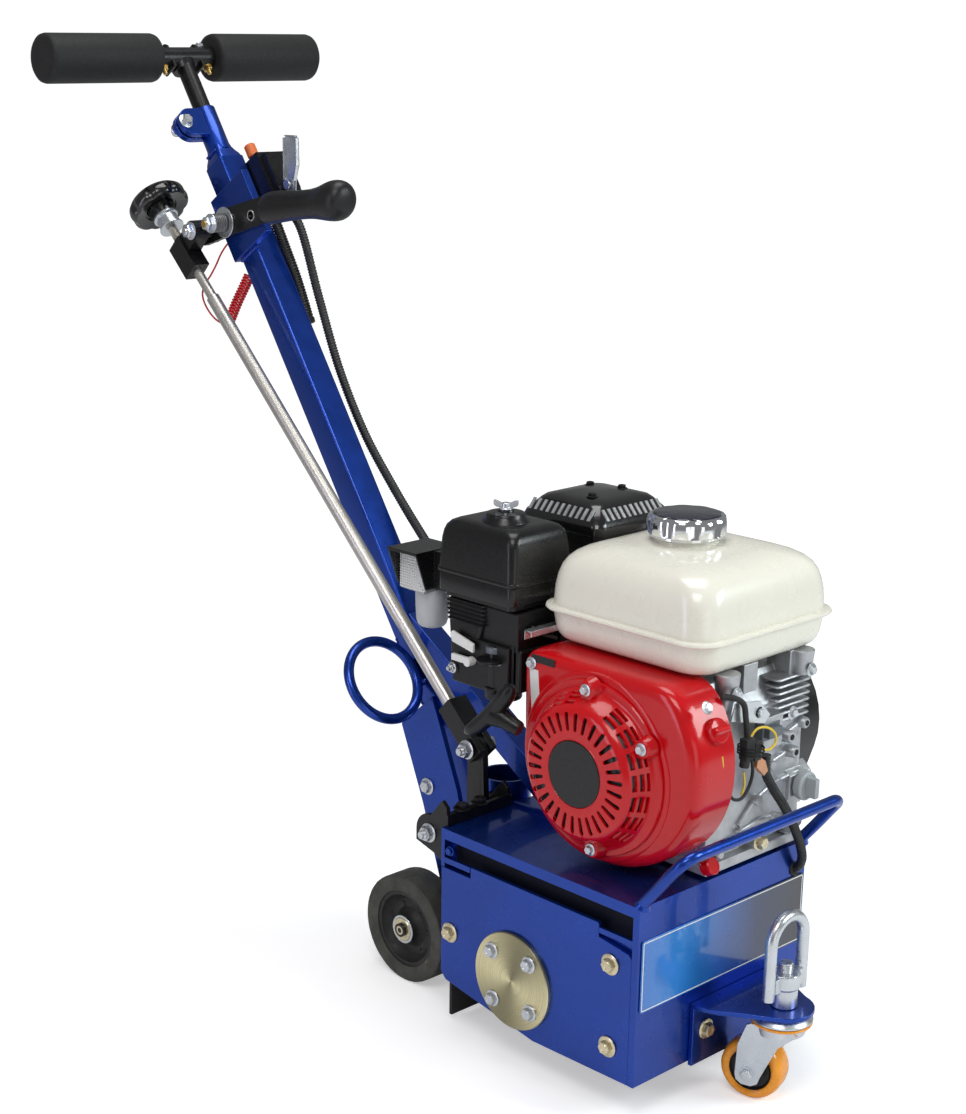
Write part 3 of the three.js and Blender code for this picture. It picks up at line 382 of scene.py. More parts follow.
def tube(bm, pts, r, seg=16, step=3.0, radius=None, loop=False, raw=False):
    path = [Vector(p) for p in pts] if raw else smooth_path(pts, step)
    t = (path[1] - path[0]).normalized()
    u, v, _ = frame_of(t)
    rings, run = [], 0.0
    for i, p in enumerate(path):
        a, b = path[max(i - 1, 0)], path[min(i + 1, len(path) - 1)]
        if i:
            run += (p - path[i - 1]).length
        nt_ = (b - a).normalized()
        rot = t.rotation_difference(nt_)
        u, v, t = rot @ u, rot @ v, nt_
        rr = radius(run, i) if radius else r
        rings.append([p + (u * math.cos(2 * math.pi * k / seg) + v * math.sin(2 * math.pi * k / seg)) * rr for k in range(seg)])
    skin(bm, rings, loop)
    return path


def hexhead(bm, at, d, af, h, flange=0.0, fh=1.6, dome=0.0, tip=0.0, tip_r=0.0):
    """Hexagon head on a round flange, with chamfered corners, and a stud end if tip is given."""
    u, v, d = frame_of(d)
    at = Vector(at)
    z = 0.0
    if flange:
        lathe(bm, [(flange - 0.5, 0), (flange, 0.5), (flange, fh * 0.6), (flange * 0.8, fh)], at, d, 32)
        z = fh * 0.8
    R = af / math.sqrt(3)

    def hexring(rad, hh):
        return [at + d * hh + (u * math.cos(math.pi * k / 3) + v * math.sin(math.pi * k / 3)) * rad for k in range(6)]
    skin(bm, [hexring(R * 0.97, z), hexring(R, z + 0.4), hexring(R, z + h * 0.8), hexring(R * 0.88, z + h)])
    if dome:
        lathe(bm, [(af * 0.42, z + h - 0.1), (af * 0.38, z + h + dome * 0.5), (af * 0.2, z + h + dome * 0.9), (0, z + h + dome)], at, d, 24)
    elif not tip:
        lathe(bm, [(af * 0.42, z + h - 0.1), (af * 0.40, z + h + 0.25), (af * 0.24, z + h + 0.25), (af * 0.2, z + h - 0.5), (0, z + h - 0.5)], at, d, 24)
    if tip:
        prof = [(tip_r, z + h - 0.2)]
        k = int(tip / 1.2)
        for i in range(k):
            prof += [(tip_r, z + h + i * 1.2), (tip_r * 0.88, z + h + i * 1.2 + 0.6)]
        prof += [(tip_r * 0.8, z + h + tip), (0, z + h + tip)]
        lathe(bm, prof, at, d, 20)


def new():
    return bmesh.new()


def make(name, bm, mat, body, replaces=(), smooth=35, bevel=0.0, seg=2, weld=0.005, subsurf=0):
    bmesh.ops.remove_doubles(bm, verts=bm.verts, dist=weld)
    bmesh.ops.recalc_face_normals(bm, faces=bm.faces)
    for vert in bm.verts:
        vert.co = q(vert.co)
    me = bpy.data.meshes.new(name)
    bm.to_mesh(me)
    bm.free()
    ob = bpy.data.objects.new(name, me)
    bpy.context.scene.collection.objects.link(ob)
    return dress(ob, mat, body, replaces, smooth, bevel, seg, subsurf)


def dress(ob, mat, body, replaces=(), smooth=35, bevel=0.0, seg=2, subsurf=0):
    me = ob.data
    me.materials.clear()
    me.materials.append(M[mat] if isinstance(mat, str) else mat)
    for p in me.polygons:
        p.use_smooth = True
    me.set_sharp_from_angle(angle=math.radians(smooth))
    if bevel:
        b = ob.modifiers.new("Bevel", "BEVEL")
        b.width = bevel / 1000
        b.segments = seg
        b.limit_method = "ANGLE"
        b.angle_limit = math.radians(28)
        b.use_clamp_overlap = True
        b.harden_normals = True
    if subsurf:
        s = ob.modifiers.new("Subsurf", "SUBSURF")
        s.levels = s.render_levels = subsurf
    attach(ob, body)
    if replaces:
        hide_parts(*([replaces] if isinstance(replaces, str) else replaces))
    return ob


def refined(node, mat, bevel=0.8, seg=2, smooth=32, dissolve=1.0):
    """The frame's own solid with eased edges, in a new mesh that stands for the node."""
    me = nodes[node].data.copy()
    me.name = node + "_fine"
    bm = bmesh.new()
    bm.from_mesh(me)
    bmesh.ops.remove_doubles(bm, verts=bm.verts, dist=2e-6)
    bmesh.ops.dissolve_limit(bm, angle_limit=math.radians(dissolve), verts=bm.verts, edges=bm.edges)
    bm.to_mesh(me)
    bm.free()
    ob = bpy.data.objects.new(node + "_fine", me)
    bpy.context.scene.collection.objects.link(ob)
    return dress(ob, mat, body_of_node[node], node, smooth, bevel, seg)


def bolt(name, at, d, af, h, mat, body, **k):
    bm = new()
    hexhead(bm, at, d, af, h, **k)
    return make(name, bm, mat, body, smooth=28)


# ---------------------------------------------------------------- camera, light and floor
cam_data = bpy.data.cameras.new("camera")
cam = bpy.data.objects.new("camera", cam_data)
bpy.context.scene.collection.objects.link(cam)
cam.location = q((-1337.0, -1133.8, 989.4))
cam.rotation_euler = Vector((0.637, 0.713, -0.293)).to_track_quat("-Z", "Y").to_euler()
cam_data.lens = 63.24
cam_data.sensor_width = 36
cam_data.shift_x = 0.0835
cam_data.shift_y = 0.0835
cam_data.clip_start = 0.05
cam_data.clip_end = 60
bpy.context.scene.camera = cam

bm = new()
bm.faces.new([bm.verts.new((132 + 30000 * math.cos(2 * math.pi * i / 96), 411 + 30000 * math.sin(2 * math.pi * i / 96), -41)) for i in range(96)])
for vert in bm.verts:
    vert.co = q(vert.co)
fm = bpy.data.meshes.new("floor")
bm.to_mesh(fm)
bm.free()
floor = bpy.data.objects.new("floor", fm)
bpy.context.scene.collection.objects.link(floor)
paper = material("floor_paper", (0.90, 0.90, 0.905), 0.75, 0, 0, 0.1, 0.004, 3, 0.03, 8, 0.02, 200, spec=0.2)
fm.materials.append(paper)


def backdrop_glow(nt, src_near, src_far, other):
    """Brightness of the backdrop: a plain value for lighting, a paler one where it is looked at."""
    lp = nt.nodes.new("ShaderNodeLightPath")
    mx = nt.nodes.new("ShaderNodeMix")
    mx.inputs[2].default_value = other
    nt.links.new(lp.outputs["Is Camera Ray"], mx.inputs[0])
    if src_near is None:
        mx.inputs[3].default_value = src_far
    else:
        tc = nt.nodes.new("ShaderNodeTexCoord")
        ln = nt.nodes.new("ShaderNodeVectorMath")
        ln.operation = "LENGTH"
        nt.links.new(tc.outputs["Object"], ln.inputs[0])
        mr = nt.nodes.new("ShaderNodeMapRange")
        mr.interpolation_type = "SMOOTHSTEP"
        mr.inputs[1].default_value, mr.inputs[2].default_value = 0.35, 3.0
        mr.inputs[3].default_value, mr.inputs[4].default_value = src_near, src_far
        nt.links.new(ln.outputs["Value"], mr.inputs[0])
        nt.links.new(mr.outputs[0], mx.inputs[3])
    return mx.outputs[0]


pn = paper.node_tree
bsdf = pn.nodes["Principled BSDF"]
bsdf.inputs["Emission Color"].default_value = (1, 1, 1, 1)
pn.links.new(backdrop_glow(pn, 0.42, 0.85, 0.0), bsdf.inputs["Emission Strength"])

world = bpy.data.worlds.new("studio")
world.use_nodes = True
wn = world.node_tree
wn.nodes["Background"].inputs[0].default_value = (0.98, 0.99, 1.0, 1)
wn.links.new(backdrop_glow(wn, None, 1.05, 0.24), wn.nodes["Background"].inputs[1])
bpy.context.scene.world = world
bpy.context.scene.view_settings.view_transform = "Standard"
bpy.context.scene.view_settings.look = "None"
bpy.context.scene.view_settings.exposure = 0.0


def area(name, loc, target, size, power, color=(1, 1, 1), size_y=None):
    d = bpy.data.lights.new(name, "AREA")
    d.shape = "RECTANGLE"
    d.size = size
    d.size_y = size_y or size
    d.energy = power
    d.color = color
    o = bpy.data.objects.new(name, d)
    bpy.context.scene.collection.objects.link(o)
    o.location = q(loc)
    o.rotation_euler = (q(target) - q(loc)).to_track_quat("-Z", "Y").to_euler()
    return o


area("key", (-1300, -700, 2400), (120, 250, 350), 1.1, 22, (1, 0.99, 0.97))
area("right", (1300, -1700, 1500), (120, 50, 250), 1.0, 30, (0.90, 0.99, 1))
area("strip", (-1900, 700, 700), (100, 300, 400), 0.5, 8, (0.86, 0.82, 1), 1.8)
area("top", (300, 500, 2600), (120, 300, 400), 1.2, 20)
area("front", (-700, -2300, 500), (120, 0, 250), 1.2, 5)

# ---------------------------------------------------------------- carried-over nodes with eased edges
for n_, w_ in (("housing", 1.2), ("side_plate", 0.9), ("caster_bracket", 1.0), ("handle_brace", 1.6), ("vacuum_port", 0.9)):
    refined(n_, "blue_paint", w_, 3)
for n_, w_ in (("belt_guard", 2.0), ("pivot_bracket", 0.9), ("lift_axle", 0.9), ("rod_clevis", 0.8), ("rod_block", 0.9), ("lift_lever", 0.9)):
    refined(n_, "black_paint", w_, 2)
refined("switch_box", "black_plastic", 1.2, 3)
hl = [(712, 829), (722, 826), (729, 831), (731, 842), (731, 891), (728, 894), (709, 894), (706, 891), (706, 860), (711, 842)]
bm = new()
prism(bm, hl, "x", 162.1, 163.6)
for (ya, za), (yb, zb) in (((706, 860), (706, 891)), ((731, 842), (731, 891)), ((711, 842), (706, 860)), ((709, 894), (728, 894))):
    d_ = Vector((yb - ya, zb - za)).normalized()
    n_ = Vector((-d_.y, d_.x)) * (1.4 if (ya, za) != (731, 842) else 1.4)
    if (ya, za) in ((706, 860), (711, 842)):
        n_ = -n_
    if (ya, za) == (709, 894):
        n_ = -n_
    prism(bm, [(ya, za), (yb, zb), (yb + n_.x, zb + n_.y), (ya + n_.x, za + n_.y)], "x", 158.5, 163.4)
rod(bm, (158, *sn(562, 59)), (174, *sn(562, 59)), 3, 20)
make("lever_channel", bm, "zinc", "control", "hand_lever", smooth=30, bevel=0.4)
bm = new()
lathe(bm, [(3, 0), (5.6, 0), (6, 0.5), (5.6, 2.2), (3, 2.6)], (157.6, *sn(562, 59)), (1, 0, 0), 28)
make("lever_rivet", bm, "zinc", "control", smooth=34)
refined("choke_lever", "white_plastic", 0.8)
refined("drum_cage", "tool_steel", 0.5)
for k in (1, 2, 3):
    refined(f"cutter_row_{k}", "tool_steel", 0.4)
refined("drum_shaft", "steel", 0.8)
refined("drum_pulley", "steel", 0.5)
refined("engine_pulley", "steel", 0.5)
refined("crankshaft", "steel", 0.6)
refined("rear_flap", "rubber", 0.8)
refined("drive_belt", "rubber", 0.6)
refined("engine_block", "aluminium", 2.4, 3)
refined("carburettor", "black_plastic", 2.0, 3)

# painted shade: a dark sheet just inside the deck recess darkens it where it falls in shadow
bm = new()
skin(bm, [[(13.7, yy, zz) for yy, zz in ((10, 152), (270, 152), (270, 190), (10, 190))], [(13.2, yy, zz) for yy, zz in ((10, 152), (270, 152), (270, 190), (10, 190))]])
make("recess_shadow_panel", bm, "painted_recess_shade", "base")

# ---------------------------------------------------------------- name plate: bare panel with a pale border
bm = new()
prism(bm, rounded(4.6, 261, 81, 158.5, 3), "y", -1.6, -0.3)
plate_ob = make("name_panel", bm, "nameplate", "base", "name_plate", bevel=0.3)
bm = new()
outer, inner = rounded(6.0, 259.6, 82.4, 157.1, 2.4), rounded(7.2, 258.4, 83.6, 155.9, 1.6)
for y0, y1 in ((-1.75, -1.5),):
    a = [bm.verts.new((x, y0, z)) for x, z in outer]
    b = [bm.verts.new((x, y0, z)) for x, z in inner]
    for i in range(len(a)):
        j = (i + 1) % len(a)
        bm.faces.new([a[i], a[j], b[j], b[i]])
make("name_panel_border", bm, "label_white", "base")

# ---------------------------------------------------------------- round bars, ring and rail
rail = [(6.5, 3.5, 195.6), (6.5, -14, 217), (7, -32, 240), (10, -42, 252), (20, -46, 257.5), (36, -46.5, 258), (90, -46.5, 258),
        (174, -46.5, 258), (228, -46.5, 258), (244, -46, 257.5), (254, -42, 252), (257, -32, 240), (257.5, -14, 217), (257.5, 3.5, 195.6)]
bm = new()
tube(bm, rail, 6, 28, 2.0)
for x, s in ((6.7, 1), (257.4, -1)):
    lathe(bm, [(8.6, -0.1), (8.2, 0.9), (6.6, 2.6), (6.0, 5.5)], (x, 2.2, 195.3), (0, -0.42, 0.9), 28)
make("rail_tube", bm, "blue_paint", "base", "front_rail", smooth=50)
bm = new()
ring = []
c0 = Vector(on(61.2, -34.5, 0))
up = Vector((0, TS, TC))
for i in range(96):
    a = 2 * math.pi * i / 96
    ring.append(c0 + (Vector((1, 0, 0)) * math.cos(a) + up * math.sin(a)) * 46.7)
nrm = Vector((0, -TC, TS))
rings = []
for i, p_ in enumerate(ring):
    rad = (p_ - c0).normalized()
    rings.append([p_ + (rad * math.cos(2 * math.pi * k / 24) + nrm * math.sin(2 * math.pi * k / 24)) * 6 for k in range(24)])
skin(bm, rings, loop=True)
make("tie_ring_bar", bm, "blue_paint", "base", "tie_ring", smooth=60)
bm = new()
for dz in (-15, 15):  # weld beads where the ring meets the tube
    c = Vector(on(112.6, -34.5 + dz, 0))
    for i in range(7):
        t_ = (i - 3) / 3
        cc = c + Vector((-0.6 - 1.5 * (1 - t_ * t_), 0, 0)) + nrm * (t_ * 7.5)
        lathe(bm, [(0, -2.6), (2.2, -1.6), (2.9, 0), (2.2, 1.6), (0, 2.6)], cc, nrm, 12)
make("ring_welds", bm, "blue_paint", "base", smooth=70)

# ---------------------------------------------------------------- cover cap and its bolts
bm = new()
lathe(bm, [(0, 0.5), (1.0, 0.4), (1.8, 0.0), (52.6, 0), (53.5, 0.9), (53.5, 4.2), (35.6, 4.2), (35.6, 10)], (-4.5, *DRUM), (1, 0, 0), 128)
make("cover_cap", bm, "yellow_zinc", "base", "bearing_cap", smooth=30)
for i, a_ in enumerate((30, 120, 210, 300)):
    yy, zz = DRUM[0] + 38.5 * math.cos(math.radians(a_ + 12)), DRUM[1] + 38.5 * math.sin(math.radians(a_ + 12))
    bolt(f"cap_bolt_{i}", (-4.4, yy, zz), (-1, 0, 0), 12, 5.2, "zinc", "base", flange=9.2, fh=2.0)
for i, (yy, zz) in enumerate(((265, 77.5), (34.7, 123.9), (34.7, 33.2))):
    bolt(f"cover_bolt_{i}", (0, yy, zz), (-1, 0, 0), 13, 5.5, "gold_bolt", "base", flange=11.2, fh=2.4)
bolt("cover_bolt_small", (0.2, 266, 172), (-1, 0, 0), 8, 3.2, "blue_paint", "base", flange=5.4, fh=1)
bolt("plate_bolt", (103.7, -5.2, 32.7), (0, -1, 0), 13, 5.6, "gold_bolt", "base", flange=10.8, fh=2.4)
bolt("plate_bolt_far", (190, -5.2, 32.7), (0, -1, 0), 13, 5.6, "gold_bolt", "base", flange=10.8, fh=2.4)

# ---------------------------------------------------------------- rear wheels
for name, x0, body in (("near", 45, "wheel_near"), ("far", 179, "wheel_far")):
    at = (x0, WHEEL_Y, WHEEL_Z)
    bm = new()
    prof = [(45.6, 3), (45.4, 2), (48, 0.9), (55, 0.4), (60.2, 0.2), (62.3, 0.7), (63.6, 1.8), (64, 4), (64, 36), (63.6, 38.2), (62.3, 39.3), (60.2, 39.8), (55, 39.6), (48, 39.1), (45.4, 38), (45.6, 37)]

    def worn(a, k, x0=x0):
        if 3 < k < 12:
            return 1 - 0.004 * (0.5 + 0.5 * math.sin(a * 7 + k) * math.sin(a * 19 + 2 * k)) - 0.003 * (math.sin(a * 43 + k * 2.1) > 0.9)
        return 1
    lathe(bm, prof, at, (1, 0, 0), 144, loop=True, lobes=worn)
    make(f"tyre_{name}_fine", bm, "tyre", body, f"tyre_{name}", smooth=30)
    bm = new()
    lathe(bm, [(8.5, 2), (17, 0), (17, 4), (19, 9), (24, 13), (33, 13.5), (38.5, 9), (40.5, 3.4), (45.2, 3.2), (45.2, 36.8), (40.5, 36.6), (38.5, 31), (33, 26.5), (24, 27), (19, 31), (17, 36), (17, 40), (8.5, 38)],
          at, (1, 0, 0), 96, loop=True)
    for k in range(6):
        a = math.pi / 3 * k
        for xx in (13.4, 26.6):
            c = Vector((x0 + xx, WHEEL_Y + 27 * math.cos(a), WHEEL_Z + 27 * math.sin(a)))
            lathe(bm, [(0, -1.4), (3.2, -1.2), (4.0, 0), (3.2, 1.2), (0, 1.4)], c, (1, 0, 0), 16)
    make(f"hub_{name}_fine", bm, "cast_black", body, f"hub_{name}", smooth=32)
    bm = new()
    lathe(bm, [(8, 0.2), (13.5, 0.2), (14, -0.6), (13.5, -1.4), (8, -1.6)], (x0, WHEEL_Y, WHEEL_Z), (1, 0, 0), 40)
    hexhead(bm, (x0 - 1.4, WHEEL_Y, WHEEL_Z), (-1, 0, 0), 13, 3.4)
    lathe(bm, [(8, -0.2), (13.5, -0.2), (14, 0.6), (13.5, 1.4), (8, 1.6)], (x0 + 40, WHEEL_Y, WHEEL_Z), (1, 0, 0), 40)
    make(f"axle_nut_{name}", bm, "gold_bolt", body, smooth=28)
    bm = new()
    for xw, dd in ((x0 + 0.4, -1), (x0 + 39.6, 1)):
        lathe(bm, [(14.2, 0), (16.4, 0), (16.8, 0.5), (16.4, 1.0), (14.2, 1.0)], (xw, WHEEL_Y, WHEEL_Z), (dd, 0, 0), 56, loop=True)
    make(f"axle_ring_{name}", bm, "zinc", body, smooth=28)

# ---------------------------------------------------------------- T handle, stem and grips
SB = 774
bm = new()
rod(bm, on(TUBE_X, 580), on(TUBE_X, SB + 4), 10.8, 40)
c1 = sn(SB, 0)
rod(bm, (-63, *c1), (327, *c1), 12.5, 48)
plate(bm, [(757, -14), (786, -15), (790, -9), (790, 5), (786, 9), (757, 10)], 109, 112.4)
plate(bm, [(757, -14), (786, -15), (790, -9), (790, 5), (786, 9), (757, 10)], 151.6, 155)
rod(bm, on(TUBE_X, 758, -4), on(TUBE_X, 768, -4), 14, 36, 16.5)
make("stem_bar", bm, "black_paint", "steer", "steer_stem", smooth=35, bevel=0.5)
for tag, x0, x1, node in (("near", -66, 90, "grip_near"), ("far", 174, 330, "grip_far")):
    bm = new()
    n = x1 - x0
    lathe(bm, [(12.9, 0.6), (22, 0), (25.6, 0.8), (27.6, 2.6), (28.5, 6), (28.5, n - 6), (27.6, n - 2.6), (25.6, n - 0.8), (22, n), (12.9, n - 0.6)], (x0, *c1), (1, 0, 0), 96)
    make(f"foam_{tag}", bm, "foam", "steer", node, smooth=45)
    bm = new()  # end plug in the bar
    xe = x0 + 0.8 if tag == "near" else x1 - 0.8
    lathe(bm, [(0, 0), (9.5, 0), (12.4, 1.4), (12.6, 3)], (xe, *c1), (1 if tag == "near" else -1, 0, 0), 40)
    make(f"bar_plug_{tag}", bm, "pitch", "steer")
for tag, xb in (("a", 99), ("b", 165)):  # clamp bolts through the bar ends, acorn nuts above, brass tips below
    bm = new()
    t0 = Vector(on(xb, SB + 12.2, 0))
    hexhead(bm, t0, up, 10, 5, flange=6.5, fh=1.2, dome=3.0)
    make(f"bar_acorn_{tag}", bm, "zinc", "steer", smooth=30)
    bm = new()
    hexhead(bm, Vector(on(xb, SB - 12.2, 0)), -up, 10, 4.4, flange=6.5, fh=1.2, tip=5, tip_r=3)
    make(f"bar_nut_{tag}", bm, "brass", "steer", smooth=30)
# clamp bolt across the ears at the top of the tube
bm = new()
hexhead(bm, on(92, 681, -9.6), (0, TC, -TS), 12, 5.5, flange=9, fh=1.8, tip=3, tip_r=3.8)
make("clamp_bolt", bm, "zinc", "base", smooth=28)
bm = new()
hexhead(bm, on(92, 681, 9.6), (0, -TC, TS), 12, 5.5, flange=9, fh=1.8)
make("clamp_head", bm, "zinc", "base", smooth=28)

# ---------------------------------------------------------------- lift linkage
def carve(ob, cutters):
    """Cuts closed cutter meshes (one bmesh, mm frame) out of ob and keeps the result as its mesh."""
    bmesh.ops.remove_doubles(cutters, verts=cutters.verts, dist=0.002)
    bmesh.ops.recalc_face_normals(cutters, faces=cutters.faces)
    for v_ in cutters.verts:
        v_.co = q(v_.co)
    cm = bpy.data.meshes.new("cutter")
    cutters.to_mesh(cm)
    cutters.free()
    co = bpy.data.objects.new("cutter", cm)
    bpy.context.scene.collection.objects.link(co)
    mod = ob.modifiers.new("cut", "BOOLEAN")
    mod.operation, mod.solver, mod.object = "DIFFERENCE", "EXACT", co
    mod.use_self = True
    dg = bpy.context.evaluated_depsgraph_get()
    out = bpy.data.meshes.new_from_object(ob.evaluated_get(dg))
    ob.modifiers.clear()
    old = ob.data
    ob.data = out
    bpy.data.meshes.remove(old)
    bpy.data.objects.remove(co)
    return ob


bm = new()
a_, b_ = Vector(rp(76, 45)), Vector(rp(76, BLOCK - 73.8))
len_ = (b_ - a_).length
lathe(bm, [(7.1, 0), (8, 0.9)] + [(8, 0.9 + (len_ - 1.8) * i / 90) for i in range(1, 90)] + [(8, len_ - 0.9), (7.1, len_)], a_, b_ - a_, 48)
make("rod_long", bm, "steel", "rod", "lift_rod", smooth=30)
bm = new()
a_, b_ = Vector(rp(76, BLOCK - 76)), Vector(rp(76, BLOCK + 70))
prof = [(5.9, 0), (5.9, 92)]
h_ = 92.0
while h_ < (b_ - a_).length - 1:
    prof += [(5.9, h_ + 0.4), (5.2, h_ + 0.8)]
    h_ += 0.9
lathe(bm, prof + [(5, (b_ - a_).length), (0, (b_ - a_).length)], a_, b_ - a_, 32)
make("rod_thread", bm, "steel", "rod", smooth=30)
KB = BLOCK + 61.5
ax_ = Vector(rp(0, 1)) - Vector(rp(0, 0))
bm = new()  # knob rim with eight finger hollows, spokes and hub


def lobe(a, k):
    return 1 - (0.06 * max(0.0, math.cos(8 * a)) ** 1.3 if 1 < k < 7 else 0)


k0 = Vector(rp(76, KB - 1))
lathe(bm, [(21, 5), (27.5, 3.2), (33.5, 2.2), (36.4, 4.6), (37.4, 9), (37.5, 13), (36.5, 17.6), (33.6, 20.8), (28, 22.2), (21, 21)], k0, ax_, 192, loop=True, lobes=lobe)
lathe(bm, [(0, 7.5), (26.5, 7.5), (26.5, 14), (20, 19.5), (0, 21)], k0, ax_, 96)
lathe(bm, [(6, -9), (15.6, -8.4), (16.4, -2), (17.6, 6), (19, 9), (6, 9)], k0, ax_, 48)
make("knob_moulding", bm, "gloss_black", "knob", "depth_knob", smooth=40)
bm = new()
lathe(bm, [(6.4, -23.6), (12.6, -23.6), (13.4, -22.8), (13.4, -10.4), (15.2, -9.8), (15.8, -9), (15.8, -1.5), (6.4, -1.5)], k0, ax_, 48)
lathe(bm, [(6.4, -25.6), (15.0, -25.6), (15.4, -25), (15.4, -24), (6.4, -23.8)], k0, ax_, 48)
make("knob_collar", bm, "zinc", "knob", smooth=30)
# spring-loaded pivot: washer, spring, lock nut and stud end
y1, z1 = LEVER_PIVOT
bm = new()
lathe(bm, [(5.3, 0), (17.5, 0), (18, 0.5), (18, 1.5), (17.5, 2), (5.3, 2)], (93.6, y1, z1), (1, 0, 0), 64)
make("pivot_washer", bm, "zinc", "lever", smooth=30)
bm = new()
turns, n_ = 6.5, 6.5 * 28
tube(bm, [(92.4 - 17.0 * i / n_, y1 + 9.6 * math.cos(2 * math.pi * i / 28), z1 + 9.6 * math.sin(2 * math.pi * i / 28)) for i in range(int(n_) + 1)], 1.25, 10, raw=True)
make("pivot_spring", bm, "tool_steel", "base", smooth=60)
bm = new()
lathe(bm, [(5, 0), (11, 0), (11.4, 0.8), (11, 1.6), (5, 1.6)], (73.6, y1, z1), (1, 0, 0), 40)
hexhead(bm, (73.6, y1, z1), (-1, 0, 0), 15, 7.4, dome=1.6)
make("pivot_nut", bm, "zinc", "base", smooth=28)
bm = new()
lathe(bm, [(4.6, 0), (4.6, 1.4), (4.0, 2.4), (0, 2.4)], (66.2, y1, z1), (-1, 0, 0), 24)
make("pivot_stud_end", bm, "brass", "base", smooth=30)
bm = new()
hexhead(bm, (67.6, *LEVER_PIN), (-1, 0, 0), 15, 6.6, flange=10.5, fh=2.2, tip=2.4, tip_r=4.6)
make("block_nut", bm, "zinc", "lever", smooth=28)
bm = new()
lathe(bm, [(6, 0), (9.6, 0), (10, 0.6), (10, 7.4), (9.6, 8)], (87.6, *LEVER_PIN), (1, 0, 0), 36)
make("block_spacer", bm, "black_paint", "lever", smooth=30)
bm = new()
lathe(bm, [(5.1, -0.3), (6.3, -0.3), (6.6, 0.4), (5.1, 0.4)], (95.7, 714, 805), (1, 0, 0), 32, loop=True)
make("lever_hole_ring", bm, "steel", "lever", smooth=30)
# lever grip
sect = [(690, 814.5, 12), (688.5, 814.7, 16.2), (684, 815.2, 18.2), (674, 816.6, 18.7), (660, 818, 18.3), (644, 819.8, 17.2), (628, 821.6, 16.6), (612, 823.4, 16.6), (600, 824.9, 17.3), (588, 826.6, 19.2),
        (578, 828.4, 21.6), (569, 829.6, 22.9), (560, 830, 22.9), (553, 830, 21), (548.4, 830, 17), (546, 830, 11.5), (545.2, 830, 5)]
bm = new()
skin(bm, [[(100 + math.cos(2 * math.pi * i / 48) * r * 0.95, y - math.sin(2 * math.pi * i / 48) * r * 0.08, z + math.sin(2 * math.pi * i / 48) * r) for i in range(48)] for y, z, r in sect])
make("grip_moulding", bm, "grip_rubber", "lever", "lever_grip", smooth=60, subsurf=1)
# clevis and arm hardware
for nm, at, d_, mt, bd in (("clevis_nut", (62.6, *LINK_PIN), (-1, 0, 0), "zinc", "rod"), ("bracket_nut", (5.2, 305, 180), (-1, 0, 0), "zinc", "base")):
    bm = new()
    hexhead(bm, at, d_, 15, 7, flange=10.8, fh=2, tip=4.5, tip_r=4.9)
    make(nm, bm, mt, bd, smooth=28)
for nm, at, d_, bd in (("clevis_head", (93.2, *LINK_PIN), (1, 0, 0), "rod"), ("bracket_head", (102.4, 305, 180), (1, 0, 0), "base")):
    bolt(nm, at, d_, 15, 5.6, "zinc", bd, flange=10.5, fh=1.8)
bolt("bracket_deck_bolt_a", (30, 280, 208.2), (0, 0, 1), 13, 5, "black_paint", "base", flange=10, fh=2)
bolt("bracket_deck_bolt_b", (57, 280, 208.2), (0, 0, 1), 13, 5, "black_paint", "base", flange=10, fh=2)
# weld beads: short overlapping rings of filler along each joint


def weld(name, a, b, r=2.4, n=9, mat="blue_paint", body="base"):
    a, b = Vector(a), Vector(b)
    d = (b - a).normalized()
    bm = new()
    for i in range(n):
        c = a.lerp(b, i / max(1, n - 1))
        lathe(bm, [(0, -r * 1.2), (r * 0.75, -r * 0.75), (r, 0), (r * 0.75, r * 0.75), (0, r * 1.2)], c, d, 12)
    return make(name, bm, mat, body, smooth=70)


bm = new()  # square tube with rounded corners
sq = rounded(-HT, HT, -HT, HT, 3.2, 6)
skin(bm, [[on(TUBE_X + a_, s_, b_) for a_, b_ in sq] for s_ in (-105, 628)])
make("tube_square", bm, "blue_paint", "base", "handle_tube", smooth=50)
bm = new()
sq2 = rounded(-HT, HT, -HT, HT, 5, 12)
m_ = len(sq2)
ringc = []
for s_, f_ in ((627.5, 0.0), (633, 0.25), (638, 0.6), (643, 0.88), (648, 1.0)):
    rr = []
    for k, (a_, b_) in enumerate(sq2):
        an = math.atan2(b_, a_)
        rr.append(on(TUBE_X + a_ * (1 - f_) + 14.6 * math.cos(an) * f_, s_, b_ * (1 - f_) + 14.6 * math.sin(an) * f_))
    ringc.append(rr)
skin(bm, ringc)
lathe(bm, [(14.4, 0), (14.4, 57), (13.6, 58), (11.4, 58), (11.3, 50)], on(TUBE_X, 642), up, 56)
make("tube_neck", bm, "blue_paint", "base", smooth=55)
bm = new()
for n0, n1 in ((-9.5, -1.6), (1.6, 9.5)):  # clamp ears either side of the slot
    pts = [(s_, x_) for s_, x_ in arc(681, 103, 18, 90, 270, 28)]
    outline = [(663, 121)] + [(681 + 18 * math.cos(math.radians(d_)), 103 - 18 * math.sin(math.radians(d_))) for d_ in range(180, -1, -8)] + [(699, 121)]
    skin(bm, [[on(x_, s_, n_) for s_, x_ in outline] for n_ in (n0, n1)])
make("clamp_ears", bm, "blue_paint", "base", smooth=35, bevel=0.9, seg=3)
bm = new()
plate(bm, [(506, -20), (588, -20), (588, 54), (506, 54)], 105, 115)
make("lever_plate", bm, "blue_paint", "base", smooth=35, bevel=1.0, seg=3)
bm = new()
rod(bm, (66, *LEVER_PIVOT), (108, *LEVER_PIVOT), 5, 28, ch=0.8)
make("pivot_stud", bm, "zinc", "base", smooth=35)
bm = new()
gus = [(412, 286), (464, 240), (427, 153), (395, 60), (280.3, 60), (280.3, 115), (352, 118), (369, 183)]
